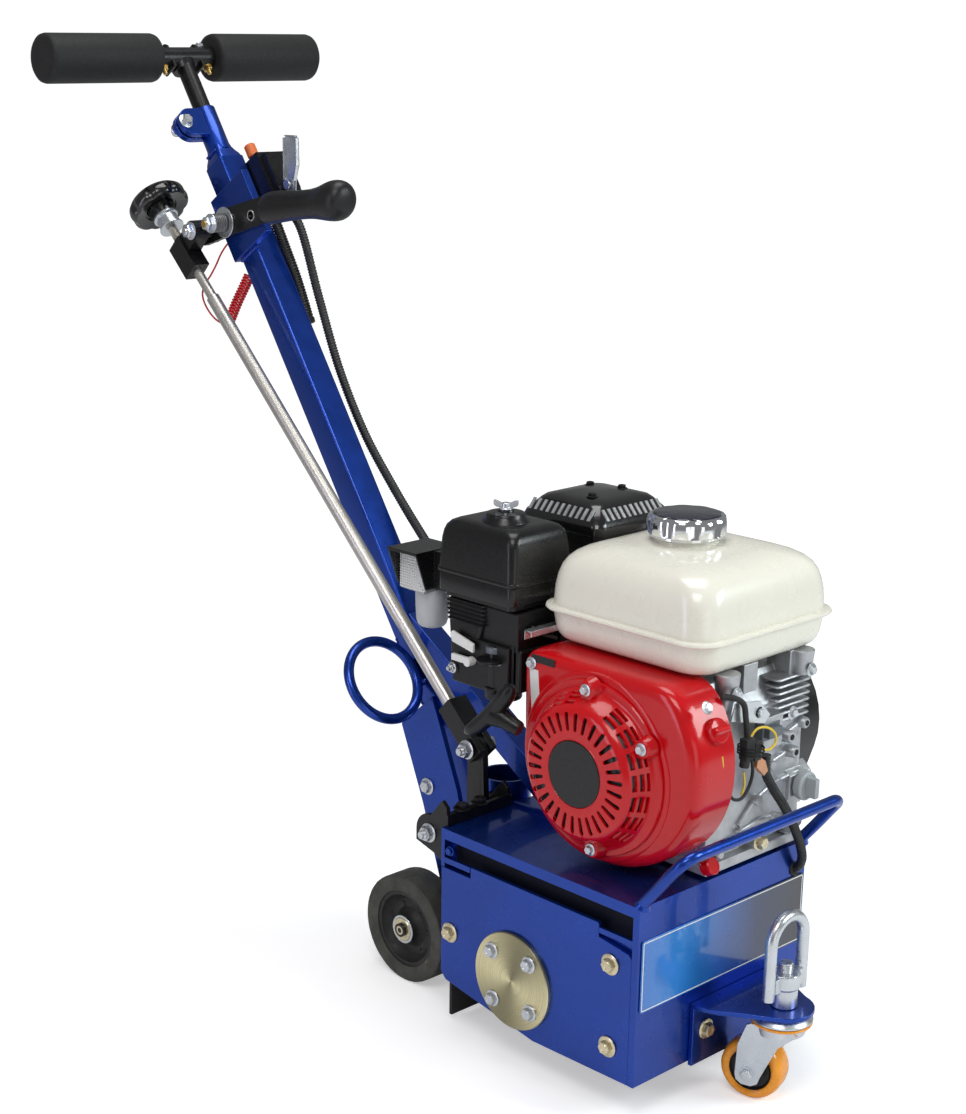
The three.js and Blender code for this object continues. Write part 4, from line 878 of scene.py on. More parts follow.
prism(bm, gus, "x", 108, 115)
prism(bm, gus, "x", 149, 156)
block(bm, 108.5, 155.5, 280.3, 285.3, 60, 115)
make("tube_gussets", bm, "blue_paint", "base", smooth=35, bevel=1.0, seg=3)
for tag, x0, x1, sgn in (("a", 107.6, 105, -1), ("b", 156.4, 159, 1)):
    for j, (yy, zz) in enumerate(((300, 76), (300, 100), (400, 120), (418, 175))):
        bolt(f"gusset_bolt_{tag}{j}", (108 if sgn < 0 else 156, yy, zz), (sgn, 0, 0), 13, 5, "zinc", "base", flange=10, fh=1.8)

weld("weld_plate_top", on(114.5, 588, -16), on(114.5, 588, 17), n=12)
weld("weld_plate_low", on(114.5, 506, -16), on(114.5, 506, 17), n=12)
weld("weld_plate_edge", on(114.6, 516, 18.6), on(114.6, 582, 18.6), n=22, r=2.0)
weld("weld_collar", on(118, 641, -9), on(118, 641, 9), n=8, r=1.8)
weld("weld_gusset", on(114.6, 10, -15), on(114.6, -85, -15), n=26, r=1.9)

# ---------------------------------------------------------------- switch, conduits and lanyard at the handle
bm = new()
rod(bm, on(162, 604, 20), on(162, 624, 20), 4.1, 28)
rod(bm, on(162, 623, 20), on(162, 639, 20), 7, 40, ch=1.0)
make("button_cap", bm, "orange_plastic", "button", "stop_button", smooth=32)
bm = new()
for i in range(3):
    lathe(bm, [(4.6, 0), (7.6 - i * 0.5, 0.6), (7.6 - i * 0.5, 2.6), (4.6, 3.2)], on(162, 609.5 + i * 3.1, 20), up, 28, loop=True)
make("button_boot", bm, "rubber", "base", smooth=30)


def ribbed(name, pts, r, replaces=(), mat="conduit", body="base", pitch=3.4, depth=0.9, step=0.85, ends=0):
    bm = new()
    tube(bm, pts, r, 20, step, radius=lambda run, i: r - depth * (0.5 - 0.5 * math.tanh(3 * math.cos(2 * math.pi * run / pitch))))
    return make(name, bm, mat, body, replaces, smooth=75)


ribbed("conduit_long", [on(165, 538, 40), (165, 709, 790), (165, 674, 708), (165, 637, 626), (165, 592, 556), (164, 545, 505), (160, 496, 462), (152, 448, 430), (144, 402, 407), (138, 366, 393), (134, 336, 388)], 5.5, "long_conduit")
ribbed("conduit_front", [(165, -16, 318), (166, -15, 300), (178, -16, 280), (200, -17, 252), (222, -15, 222), (238, -12.5, 196), (243.5, -10.5, 182), (245.5, -6, 172), (246, 0, 167), (246, 6, 166)], 5, "front_conduit")
ribbed("conduit_short", [(154, 739, 790), (156, 726, 764), (158, 708, 729), (159, 694, 698), (160, 688, 682)], 6.8)
bm = new()
rod(bm, (160, 688.5, 683), (160, 686, 677), 7.2, 28, ch=0.8)
rod(bm, (246, 7.2, 166), (246, -1.9, 167.4), 8.2, 32, ch=1.2)
make("conduit_caps", bm, "rubber", "base", smooth=40)
# red spiral lanyard and its fine strand
bm = new()
path = smooth_path([(126, 757, 731), (122, 762, 718), (115, 769, 698), (107, 774, 676)], 0.22)
t_, coil = (path[1] - path[0]).normalized(), []
u_, v_, _ = frame_of(t_)
run = 0.0
for i, p_ in enumerate(path):
    if i:
        run += (p_ - path[i - 1]).length
    ph = 2 * math.pi * run / 3.7
    coil.append(p_ + (u_ * math.cos(ph) + v_ * math.sin(ph)) * 5.5)
tube(bm, coil, 1.65, 8, raw=True)
make("lanyard_coil", bm, "red_cord", "base", "curly_lanyard", smooth=80)
bm = new()
tube(bm, [(110, 768, 774), (109, 780, 765), (108, 790, 754), (107.5, 799, 741), (104, 806, 728), (96, 809, 716), (91, 806, 704), (92, 797, 688), (98, 785, 675), (105, 775, 672), (107, 774, 678)], 1.15, 10, 2)
make("lanyard_strand", bm, "red_cord", "base", smooth=80)

# ---------------------------------------------------------------- caster and lifting eye
bm = new()
lathe(bm, [(0, 99), (8.2, 99), (8.2, 114), (7.4, 115.6), (0, 116)], sw(0, 0, 0), (0, 0, 1), 40)
lathe(bm, [(8, 101.1), (25, 101.1), (28, 99.6), (30.4, 96.6), (31.6, 95.6), (31.6, 94.2), (27.5, 92.9), (8, 92.9)], sw(0, 0, 0), (0, 0, 1), 64)
make("caster_crown", bm, "zinc", "caster", "caster_fork", smooth=32)
bm = new()
lathe(bm, [(24, 93.0), (30.9, 92.7), (31.6, 91.6), (30.9, 90.2), (24, 90.0)], sw(0, 0, 0), (0, 0, 1), 64)
make("caster_seal", bm, "orange_urethane", "caster", smooth=40)
bm = new()
lathe(bm, [(9, 101.3), (19, 101.3), (20, 101.8), (20, 104.6), (19, 105.2), (9, 105.2)], sw(0, 0, 0), (0, 0, 1), 48)
make("caster_spacer", bm, "label_white", "caster", smooth=40)
bm = new()  # pressed fork: crown skirt running down into two tapering legs
skirt = []
for z_, ky, kx in ((90, 1.0, 1.0), (86, 1.0, 1.0), (80, 0.93, 0.97)):
    skirt.append([sw(27.5 * kx * math.cos(a), 27.5 * ky * math.sin(a) + 1, z_) for a in [2 * math.pi * i / 64 for i in range(64)]])
skin(bm, [[sw(10 * math.cos(a), 10 * math.sin(a) + 1, 90) for a in [2 * math.pi * i / 64 for i in range(64)]]] + skirt, caps=False)
leg = [(-26, 88), (-21, 90.5), (23, 90.5), (28, 88), (36.5, 64), (TRAIL + 13, ROLL_R - 3), (TRAIL + 11.5, ROLL_R - 9), (TRAIL + 5.5, ROLL_R - 13), (TRAIL - 5, ROLL_R - 13), (TRAIL - 11.5, ROLL_R - 9), (TRAIL - 15, ROLL_R + 1), (-6, 70)]
for x0, x1 in ((-24, -20.6), (20.6, 24)):
    skin(bm, [[sw(x_, yy, zz) for yy, zz in leg] for x_ in (x0, x1)])
make("caster_legs", bm, "zinc", "caster", smooth=30, bevel=0.7, seg=3)
bm = new()
for s_ in (-1, 1):
    base = Vector(sw(24 * s_, TRAIL, ROLL_R))
    d_ = (Vector(sw(30 * s_, TRAIL, ROLL_R)) - base).normalized()
    hexhead(bm, base, d_, 11, 3.0, flange=7.6, fh=1.0, dome=1.0)
make("caster_axle_nuts", bm, "zinc", "caster", smooth=28)
bm = new()
ax0 = Vector(sw(-17, TRAIL, ROLL_R))
ad = (Vector(sw(17, TRAIL, ROLL_R)) - ax0).normalized()
lathe(bm, [(22.5, 3.4), (25, 1.6), (27.5, 1.1), (30.2, 2.4), (32.2, 5.4), (33, 10), (33, 24), (32.2, 28.6), (30.2, 31.6), (27.5, 32.9), (25, 32.4), (22.5, 30.6)], ax0, ad, 96, loop=True)
make("caster_tread", bm, "orange_urethane", "caster_roller", "caster_wheel", smooth=50)
bm = new()
lathe(bm, [(5.3, 0), (9, 0), (9.6, 2.4), (14, 5.6), (20, 5.6), (22.6, 3.2), (22.9, 17), (22.6, 30.8), (20, 28.4), (14, 28.4), (9.6, 31.6), (9, 34), (5.3, 34)], ax0, ad, 72)
make("caster_core", bm, "black_plastic", "caster_roller", smooth=32)
ec = (CASTER[0] + 2, CASTER[1])
bm = new()
loop_ = [(ec[0] - 26, ec[1], 79), (ec[0] - 26, ec[1], 100), (ec[0] - 26, ec[1], 120), (ec[0] - 26, ec[1], 137)]
loop_ += [(ec[0] + 26 * math.cos(a), ec[1], 137.5 + 26 * math.sin(a)) for a in [math.pi - math.pi * i / 14 for i in range(1, 14)]]
loop_ += [(ec[0] + 26, ec[1], 137), (ec[0] + 26, ec[1], 120), (ec[0] + 26, ec[1], 100), (ec[0] + 26, ec[1], 79)]
tube(bm, loop_, 6.2, 24, 2.0)
make("eye_loop", bm, "zinc", "base", "eye_nut", smooth=50)
bm = new()
lathe(bm, [(8.6, 65.9), (12.9, 65.9), (13.5, 66.6), (13.5, 86), (15, 87), (15.6, 88), (15.6, 101.6), (14.8, 103), (7.8, 103)], (*ec, 0), (0, 0, 1), 48)
block(bm, ec[0] - 22, ec[0] + 22, ec[1] - 5.8, ec[1] + 5.8, 85.4, 101.4)
make("eye_body", bm, "zinc", "base", smooth=30, bevel=1.2, seg=3)
bm = new()
prof = [(7.4, 102)]
for i in range(8):
    prof += [(7.6, 103 + i * 1.25), (6.9, 103.6 + i * 1.25)]
lathe(bm, prof + [(6.6, 113.4), (0, 113.6)], (*ec, 0), (0, 0, 1), 32)
make("eye_stud", bm, "zinc", "base", smooth=30)

# ---------------------------------------------------------------- engine: tank and cap
def tank_ring(x0, x1, y0, y1, r, z, n=12):
    return [(x, y, z) for x, y in rounded(x0, x1, y0, y1, r, n)]


lower = [(84, 263, 9, 190, 26, 410.5), (79, 268, 4, 195, 27, 411.5), (75, 272, 0, 199, 28, 414.5), (72.5, 274.5, -2.5, 201.5, 28, 419), (71, 276, -4, 203, 28, 425), (69.5, 277.5, -5.5, 204.5, 28, 436), (69, 278, -6, 205, 28, 443.2)]
lip = [(66, 281, -9, 208, 30, 442.8), (63.2, 283.8, -11.8, 210.8, 31, 443.4), (62.1, 284.9, -12.9, 211.9, 31, 445.2), (62.6, 284.4, -12.4, 211.4, 31, 447.2), (65, 282, -10, 209, 30, 448), (69.2, 277.8, -5.8, 204.8, 28, 448.4)]
upper = [(69.2, 277.8, -5.8, 204.8, 28, 455), (70, 277, -5, 204, 28, 468), (71.4, 275.6, -3.6, 202.6, 29, 479), (74, 273, -1, 200, 30, 489), (77.6, 269.4, 2.6, 196.4, 31, 496), (82.5, 264.5, 7.5, 191.5, 32, 501.3), (89.5, 257.5, 14.5, 184.5, 33, 505.6), (98, 249, 23, 176, 34, 508.8),
         (107, 240, 32, 167, 32, 511), (116, 231, 41, 158, 28, 512.4)]
bm = new()
skin(bm, [tank_ring(*r) for r in lower + lip + upper])
lathe(bm, [(33, 505), (33, 514.6), (32.2, 516.6), (30, 517), (24, 517), (24, 500)], (180, 111, 0), (0, 0, 1), 64)
tank = make("tank_shell", bm, "cream_paint", "base", "fuel_tank", smooth=40)
bm = new()  # seam line below the lip
skin(bm, [tank_ring(69.0, 278.0, -6.0, 205.0, 28, 441.0), tank_ring(68.6, 278.4, -6.4, 205.4, 28, 441.5), tank_ring(69.0, 278.0, -6.0, 205.0, 28, 442.0)], caps=False)
make("tank_seam", bm, "label_white", "base", smooth=60)


def cap_lobe(a, k):
    w = (0.5 - 0.5 * math.cos(9 * a)) ** 2
    return 1 - (0.055 * w if 2 <= k <= 5 else 0)


bm = new()
lathe(bm, [(37.0, 517.6), (38, 518.4), (38, 521.4), (36, 521.8)], (180, 111, 0), (0, 0, 1), 160)
lathe(bm, [(35.5, 521.0), (39.8, 521.4), (40.9, 523.4), (41.0, 533), (40.2, 537.6), (38.2, 540), (35.6, 540.8), (34.8, 540.4), (12, 540.0), (0, 540.0)], (180, 111, 0), (0, 0, 1), 224, lobes=cap_lobe)
make("cap_shell", bm, "chrome", "tank_cap", "fuel_cap", smooth=34)
bm = new()
lathe(bm, [(35.2, 540.2), (34.6, 541.2), (33, 541.8), (0, 542.2)], (180, 111, 0), (0, 0, 1), 192, lobes=lambda a, k: 1 - 0.05 * (0.5 - 0.5 * math.cos(9 * a)) ** 2 if k < 3 else 1)
make("cap_inlay", bm, "cap_top", "tank_cap", smooth=40)

# ---------------------------------------------------------------- engine: starter cover with cooling slots
CY, CZ = CRANK


def yz(r, deg):
    a = math.radians(deg)
    return CY + r * math.cos(a), CZ + r * math.sin(a)


bm = new()
X0 = 8.1
outer = [(36, 0.7), (45, 0.3), (58, 0.5), (63, 1.2), (67, 3.2), (70, 6.6), (72.6, 11), (74.8, 15.4), (77.6, 20.6), (80.2, 24.4), (82.4, 26.6), (85, 27.2), (90, 27.2), (91, 28.2), (91, 31.4)]
inner = [(88.6, 31.4), (84, 30.2), (80.4, 29), (77.8, 26.2), (75, 21.8), (72.2, 16.8), (69.8, 12), (67.4, 8.2), (64.8, 5.4), (62, 3.8), (57.5, 3.0), (45, 2.8), (36, 3.0)]
lathe(bm, [(r, h) for r, h in outer + inner], (X0, CY, CZ), (1, 0, 0), 180, loop=True)
cover = make("starter_shell", bm, "red_paint", "base", "recoil_cover", smooth=34)
cut_bm = new()


def capsule(bm, r0, r1, deg, w0, w1, xa, xb, n=6):
    """A radial slot with round ends, wider outside, cut straight through along X."""
    a = math.radians(deg)
    e, t_ = Vector((math.cos(a), math.sin(a))), Vector((-math.sin(a), math.cos(a)))
    c = Vector((CY, CZ))
    pts = []
    for i in range(n + 1):
        b = math.pi * i / n - math.pi / 2
        pts.append(c + e * (r1 - w1 + w1 * math.cos(b)) + t_ * (w1 * math.sin(b)))
    for i in range(n + 1):
        b = math.pi * i / n + math.pi / 2
        pts.append(c + e * (r0 + w0 + w0 * math.cos(b)) + t_ * (w0 * math.sin(b)))
    skin(bm, [[(x_, p.x, p.y) for p in pts] for x_ in (xa, xb)])


for k in range(30):
    capsule(cut_bm, 44, 63.5, 6 + k * 12, 2.0, 2.55, X0 - 3, X0 + 5.4)
# rows of curved slots on the flared side, between the mounting ears
for lo_, hi_, cells in ((-62, 12, 4), (40, 84, 3), (112, 236, 7), (252, 284, 2)):
    for c_ in range(cells):
        d0 = lo_ + (hi_ - lo_) * c_ / cells + 2.2
        d1 = lo_ + (hi_ - lo_) * (c_ + 1) / cells - 2.2
        for x0_, x1_ in ((X0 + 7.6, X0 + 12.2), (X0 + 14.8, X0 + 19.2), (X0 + 21.2, X0 + 24.0)):
            na = 6
            ra, rb = 64.0 if x0_ < X0 + 14 else 69.0, 84.0
            rings = []
            for x_ in (x0_, x1_):
                ringp = [yz(rb, d0 + (d1 - d0) * i / na) for i in range(na + 1)] + [yz(ra, d1 - (d1 - d0) * i / na) for i in range(na + 1)]
                rings.append([(x_, *p_) for p_ in ringp])
            skin(cut_bm, rings)
carve(cover, cut_bm)
for p in cover.data.polygons:
    p.use_smooth = True
cover.data.set_sharp_from_angle(angle=math.radians(34))
cover.data.materials.clear()
cover.data.materials.append(M["red_paint"])
bm = new()
lathe(bm, [(0, 0.0), (33.8, 0.0), (34.4, 0.5), (34.4, 2.4), (37, 2.4), (37, 3.4), (0, 3.4)], (X0, CY, CZ), (1, 0, 0), 96)
make("starter_badge", bm, "badge", "base", smooth=30)
bm = new()
lathe(bm, [(34.5, 1.4), (35.2, 0.4), (36.2, 0.4), (36.8, 1.2), (36.8, 3)], (X0, CY, CZ), (1, 0, 0), 96)
make("starter_badge_rim", bm, "red_paint", "base", smooth=30)
bm = new()  # rope reel and fan seen through the slots
lathe(bm, [(0, 6.4), (60, 6.4), (66, 10), (70, 17), (74, 24), (76, 30)], (X0, CY, CZ), (1, 0, 0), 72)
for k in range(24):
    y0_, z0_ = yz(52, k * 15)
    lathe(bm, [(0, 5.2), (2.6, 5.2), (3.2, 6.5)], (X0, y0_, z0_), (1, 0, 0), 12)
make("starter_reel", bm, "reel_steel", "base", smooth=34)
for i, deg in enumerate((30, 101, 150, 262)):
    pass
for i, (deg, rr) in enumerate(((148, 79), (89, 79), (262, 79), (330 - 300 + 180, 79))):
    yy, zz = yz(rr, (150, 89, 262, 210)[i])
ears = [(150 - 0, 78)]
for i, deg in enumerate((150, 88, 262)):
    d_ = {150: 150, 88: 89, 262: 262}[deg]
EAR = [(yz(83, 149.5), 149.5), (yz(84, 89.5), 89.5), (yz(82, 263), 263)]
# y grows away from the front, so the photographed right-hand ear lies at the low-y side
EAR = [(yz(84, 180 - 149.5 + 120), 150.5)]
EAR = [(yz(84, 150), 150), (yz(84, 89), 89), (yz(82, 262), 262)]
for i, ((yy, zz), deg) in enumerate(EAR):
    bm = new()
    a = math.radians(deg)
    e = Vector((0, math.cos(a), math.sin(a)))
    tt = Vector((0, -math.sin(a), math.cos(a)))
    base = Vector((X0 + 16, yy, zz))
    prof = []
    for h, w, back in ((0, 8.2, 14), (2, 9.4, 16), (12, 12.5, 19)):
        ringp = []
        for k in range(20):
            b = 2 * math.pi * k / 20
            rad_ = w if math.cos(b) > 0 else w
            off = e * (math.cos(b) * (w if math.cos(b) > 0 else back)) + tt * (math.sin(b) * w)
            ringp.append(base + off + Vector((h, 0, 0)))
        prof.append(ringp)
    skin(bm, prof)
    make(f"starter_ear_{i}", bm, "red_paint", "base", smooth=50, bevel=1.4, seg=3)
    bolt(f"starter_bolt_{i}", (X0 + 16, yy, zz), (-1, 0, 0), 8, 3.6, "zinc", "base", flange=6.4, fh=1.2)

# fan shroud: one smooth pressing behind the cover
def shroud_ring(x, g):
    pts = [(206 - g, 402 - g), (196 - g, 407 - g), (14 + g, 408 - g), (-8 + g, 392 - g), (-27 + g, 352)] + arc(88, 318, 118 - g, 175, 350, 40) + [(206 - g, 330)]
    return pts


def resample(pts, n=160):
    P_ = [Vector(p) for p in pts]
    seg = [(P_[(i + 1) % len(P_)] - P_[i]).length for i in range(len(P_))]
    tot, out = sum(seg), []
    i, acc = 0, 0.0
    for k in range(n):
        s_ = tot * k / n
        while acc + seg[i] < s_:
            acc += seg[i]
            i += 1
        out.append(P_[i].lerp(P_[(i + 1) % len(P_)], (s_ - acc) / max(1e-9, seg[i])))
    for _ in range(10):  # ease the corners
        out = [out[i] * 0.5 + (out[i - 1] + out[(i + 1) % n]) * 0.25 for i in range(n)]
    return out


bm = new()
base_ring = resample(shroud_ring(0, 0))
cen = Vector((88, 318))
rings = []
for x_, g in ((98, 0.0), (96.5, 0.2), (60, 0.6), (50, 1.6), (45, 3.8), (42, 7.2), (40.6, 11.5), (40.1, 17)):
    rings.append([(x_, *(p - (p - cen).normalized() * g)) for p in base_ring])
rings.append([(40.1, CY + (p - cen).normalized().x * 82, CZ + (p - cen).normalized().y * 82) for p in base_ring])
rings.append([(52, CY + (p - cen).normalized().x * 80, CZ + (p - cen).normalized().y * 80) for p in base_ring])
skin(bm, rings, caps=False)
make("shroud_shell", bm, "red_paint", "base", "fan_shroud", smooth=38)
bm = new()
lathe(bm, [(91.6, 0), (96, 0), (97.5, 0.8), (98, 3), (98, 5)], (38.6, CY, CZ), (1, 0, 0), 120)
make("shroud_bead", bm, "red_paint", "base", smooth=40)
bolt("shroud_bolt_a", (56, -24.5, 408 - 14), (0, -0.9, 0.44), 8, 3.6, "zinc", "base", flange=6.6, fh=1.2)
bolt("shroud_bolt_b", (39.6, 190, 392), (-1, 0, 0), 8, 3.6, "zinc", "base", flange=6.6, fh=1.2)
# plain white and black decals left bare
for nm, pts, mt in (("shroud_panel_white", [(193, 386), (181, 386), (176, 332), (188, 332)], "label_white"), ("shroud_panel_black", [(191, 402), (158, 402), (158, 394), (191, 394)], "badge")):
    bm = new()
    prism(bm, pts, "x", 39.75, 40.05)
    make(nm, bm, mt, "base")
# engine switch: round dial with a bar handle
bm = new()
sd = Vector((0, -0.903, 0.4297))
s0 = Vector((76, -15, 362.2))
lathe(bm, [(12.6, -1), (13, 0), (13, 9.6), (12.2, 12), (10.5, 12.8), (0, 12.8)], s0, sd, 48)
make("switch_dial", bm, "red_paint", "ignition", "engine_switch", smooth=34)
bm = new()
rod(bm, s0 + sd * 14.2 + Vector((-10.6, 0, 0)), s0 + sd * 14.2 + Vector((10.6, 0, 0)), 4.2, 24, ch=1.4)
make("switch_bar", bm, "red_paint", "ignition", smooth=40)
# starter handle
bm = new()
gm, gd, gs = Vector((12, 217, 338.5)), Vector((0.2, -0.915, -0.35)), Vector((0, -0.682, 0.731))
gn = gd.cross(gs).normalized()
rings = []
for k in range(25):
    t_ = -1 + 2 * k / 24
    c = gm + gs * (45 * t_) - gd * (5.0 * t_ * t_)
    w = 10.5 * (1 - abs(t_) ** 7 * 0.55)
    rings.append([c + (gd * math.cos(2 * math.pi * i / 28) * w * 0.95 + gn * math.sin(2 * math.pi * i / 28) * w) for i in range(28)])
skin(bm, rings)
lathe(bm, [(13.5, 2), (12, 9), (9.6, 16), (8.4, 24), (8, 33), (7.2, 35), (0, 35)], gm, gd, 32)
make("starter_handle", bm, "black_plastic", "starter", "recoil_grip", smooth=50)

# ---------------------------------------------------------------- engine: air cleaner, inlet hood and bowl
def loft_box(bm, rows, n=10):
    skin(bm, [tank_ring(x0, x1, y0, y1, r, z, n) for x0, x1, y0, y1, r, z in rows])


bm = new()
loft_box(bm, [(36.3, 127.7, 216.3, 330.7, 9, 464.0), (36, 128, 216, 331, 9, 465), (36.2, 127.8, 216.2, 330.8, 9, 470), (38.2, 125.8, 218.2, 328.8, 9.5, 500), (39.4, 124.6, 219.4, 327.6, 10, 508), (41.2, 122.8, 221.2, 325.8, 10.5, 513.6), (44.6, 119.4, 224.6, 322.4, 11, 517.8),
               (49.5, 114.5, 229.5, 317.5, 11, 520.2), (56, 108, 236, 311, 11, 521)])
lathe(bm, [(25.5, -0.5), (24.8, 1.4), (21.5, 4.4), (20.6, 7.4), (19.6, 9.2), (14, 10.4), (9, 10.6), (8.4, 12.2), (0, 12.4)], (79, 270, 520.6), (0, 0, 1), 64)
make("cleaner_cover", bm, "satin_black", "filter_cover", "air_cleaner_cover", smooth=34)
bm = new()  # cover panel edge line
loft_box(bm, [(35.6, 128.4, 215.6, 331.4, 9, 464.6), (35.2, 128.8, 215.2, 331.8, 9.2, 465.6), (35.2, 128.8, 215.2, 331.8, 9.2, 467.4), (35.8, 128.2, 215.8, 331.2, 9, 468.4)])
make("cleaner_rim", bm, "satin_black", "filter_cover", smooth=40)
bm = new()  # wing nut
lathe(bm, [(7.2, 0), (7.2, 1.2), (5.4, 1.8), (4.6, 6.6), (3.6, 7.2), (0, 7.2)], (79, 270, 533), (0, 0, 1), 28)
for s_ in (-1, 1):
    w0 = Vector((79, 270, 535.4))
    dr = Vector((0.62, -0.78, 0)) * s_
    rings = []
    for t_, hw, th in ((3, 2.6, 1.7), (7, 3.2, 1.4), (11, 3.6, 1.3), (13.2, 2.4, 1.2)):
        c = w0 + dr * t_ + Vector((0, 0, t_ * 0.36))
        nn = Vector((-dr.y, dr.x, 0))
        rings.append([c + Vector((0, 0, hw)) + nn * th, c + Vector((0, 0, hw)) - nn * th, c - Vector((0, 0, hw)) - nn * th, c - Vector((0, 0, hw)) + nn * th])
    skin(bm, rings)
make("wing_nut", bm, "zinc", "filter_cover", smooth=40, bevel=0.5)
bm = new()
loft_box(bm, [(43, 121, 223, 324, 7, 437), (42, 122, 222, 325, 8, 438), (42, 122, 222, 325, 8, 443), (37.6, 126.4, 217.6, 329.4, 8, 443.6), (37, 127, 217, 330, 8, 445), (37, 127, 217, 330, 8, 462.4), (37.6, 126.4, 217.6, 329.4, 8, 463.6)])
make("cleaner_base", bm, "satin_black", "base", "air_cleaner_base", smooth=34)
bm = new()  # rubbing ribs on the elbow under the base
for i in range(5):
    loft_box(bm, [(40.5 - i * 0.6, 66, 262, 318 - i, 3, 434 - i * 4.6), (39.6 - i * 0.6, 67, 261, 319 - i, 3, 433 - i * 4.6), (40.5 - i * 0.6, 66, 262, 318 - i, 3, 432 - i * 4.6)])
make("elbow_ribs", bm, "black_plastic", "base", smooth=40)
bm = new()
loft_box(bm, [(41.5, 60, 262, 317, 4, 436), (40.5, 60, 262, 316, 4, 420), (39, 58, 268, 312, 4, 396), (38.6, 56, 276, 308, 4, 352)])
make("elbow_body", bm, "black_plastic", "base", smooth=40, bevel=1.0)
# hood
refined("precleaner", "satin_black", 1.4, 3)
bm = new()
lathe(bm, [(0, 0), (11.5, 0), (14, 1), (16.2, 3.4), (17.6, 8), (18.6, 24), (19, 45), (17.4, 46), (16.9, 30), (16, 8), (13, 3), (0, 2.6)], (76, 378, 384), (0, 0, 1), 64)
block(bm, 51.8, 61.4, 363.2, 403.6, 427.2, 470.8)
block(bm, 51.8, 80, 363.2, 398, 427.2, 431.4)
make("bowl_clear", bm, "frosted", "base", "dust_cup", smooth=34, bevel=0.8)
bm = new()  # mesh screen on the face of the hood
for i in range(13):
    y_ = 364.6 + i * 3.1
    block(bm, 50.8, 51.6, y_, y_ + 0.9, 428.5, 469.5)
for i in range(14):
    z_ = 429.2 + i * 3.0
    block(bm, 50.7, 51.5, 364.2, 403.2, z_, z_ + 0.9)
make("screen_mesh", bm, "label_white", "base", smooth=30)

# carburettor linkage seen under the air cleaner
bm = new()
rod(bm, (36.5, 247, 381), (36.5, 247, 384), 15, 40, ch=0.6)
rod(bm, (46, 247, 352), (46, 247, 378), 9.5, 32, ch=1.0)
rod(bm, (46, 247, 346), (46, 247, 352), 12, 32, ch=1.2)
make("carb_body", bm, "black_plastic", "base", smooth=34)
bm = new()
lathe(bm, [(4, 0), (15.4, 0), (16, 0.6), (15.4, 1.6), (13, 2.6), (10, 4.2), (4, 4.6)], (44, 247, 379), (0, 0, 1), 44)
make("throttle_washer", bm, "zinc", "base", smooth=34)
bm = new()
lathe(bm, [(4, 0), (9.6, 0), (10.2, 0.6), (10.2, 6.4), (9.4, 7.2), (0, 7.2)], (44, 247, 389.5), (0, 0, 1), 40)
lathe(bm, [(4, 0), (6.2, 0.2), (6.2, 6)], (44, 247, 384), (0, 0, 1), 28)
make("throttle_dial", bm, "gasket", "base", smooth=34)
bm = new()
rod(bm, (60, 300, 362), (37.2, 304, 361), 8.4, 32, ch=1.4)
make("idle_boss", bm, "black_plastic", "base", smooth=34)
bm = new()
hexhead(bm, (37, 304, 361), (-1, 0, 0.02), 8.5, 3.2, flange=6, fh=1.2, tip=3.4, tip_r=2.8)
make("idle_screw", bm, "zinc", "base", smooth=30)
bm = new()
prism(bm, [(268, 386), (300, 392), (303, 400), (300, 404), (268, 396)], "x", 31.4, 34.8)
make("choke_blade", bm, "white_plastic", "choke", smooth=34, bevel=0.8)
bm = new()  # governor channel
ch = [(0, 0), (1.3, 0), (1.3, 9.4), (9.4, 9.4), (9.4, 4.5), (10.7, 4.5), (10.7, 10.7), (0, 10.7)]
skin(bm, [[(52 + t_ * 44, 214 - t_ * 14 - w_, 409 + h_ + t_ * 6) for w_, h_ in ch] for t_ in (0, 1)])
make("governor_channel", bm, "zinc", "base", smooth=30, bevel=0.3)
bm = new()
tube(bm, [(60, 262, 410), (62, 240, 420), (64, 222, 421), (70, 205, 414), (84, 198, 408)], 2.2, 12)
make("fuel_hose", bm, "rubber", "base", smooth=60)
bm = new()
block(bm, 47, 98, 216, 262, 399, 412)
block(bm, 44, 92, 210, 240, 352, 398)
make("carb_block", bm, "black_plastic", "base", smooth=30, bevel=3, seg=3)

# ---------------------------------------------------------------- engine: muffler with slotted guard
bm = new()
loft_box(bm, [(180, 269, 233, 316, 12, 441), (172, 277, 225, 324, 12, 446), (169, 280, 222, 327, 12, 452), (165.4, 283.6, 218.4, 330.6, 12, 470), (165, 284, 218, 331, 12, 505)])
make("muffler_body", bm, "black_paint", "base", "muffler", smooth=36)
bm = new()
rows = [(163.4, 285.6, 216.4, 332.6, 13, 497), (163, 286, 216, 333, 13, 499), (163, 286, 216, 333, 13, 506), (165, 284, 218, 331, 13, 511), (176, 273, 229, 320, 13, 524), (180, 269, 233, 316, 13, 527.5), (190, 259, 243, 306, 12, 530.4), (212, 237, 262, 288, 8, 533.6)]
loft_box(bm, rows)
guard = make("muffler_guard", bm, "gloss_black", "base", smooth=36, bevel=0.6)
bm = new()  # bright slots along the sloped edges of the guard
for i in range(11):
    y_ = 234 + i * 8.6
    quad = []
    for t0 in (0.10, 0.92):
        x_, z_ = 165 + 11 * t0, 511 + 13 * t0
        quad.append([(x_ - 0.6, y_ - 1.9, z_ + 0.5), (x_ - 0.6, y_ + 1.9, z_ + 0.5), (x_ + 0.5, y_ + 1.9, z_ - 0.42), (x_ + 0.5, y_ - 1.9, z_ - 0.42)])
    skin(bm, quad)
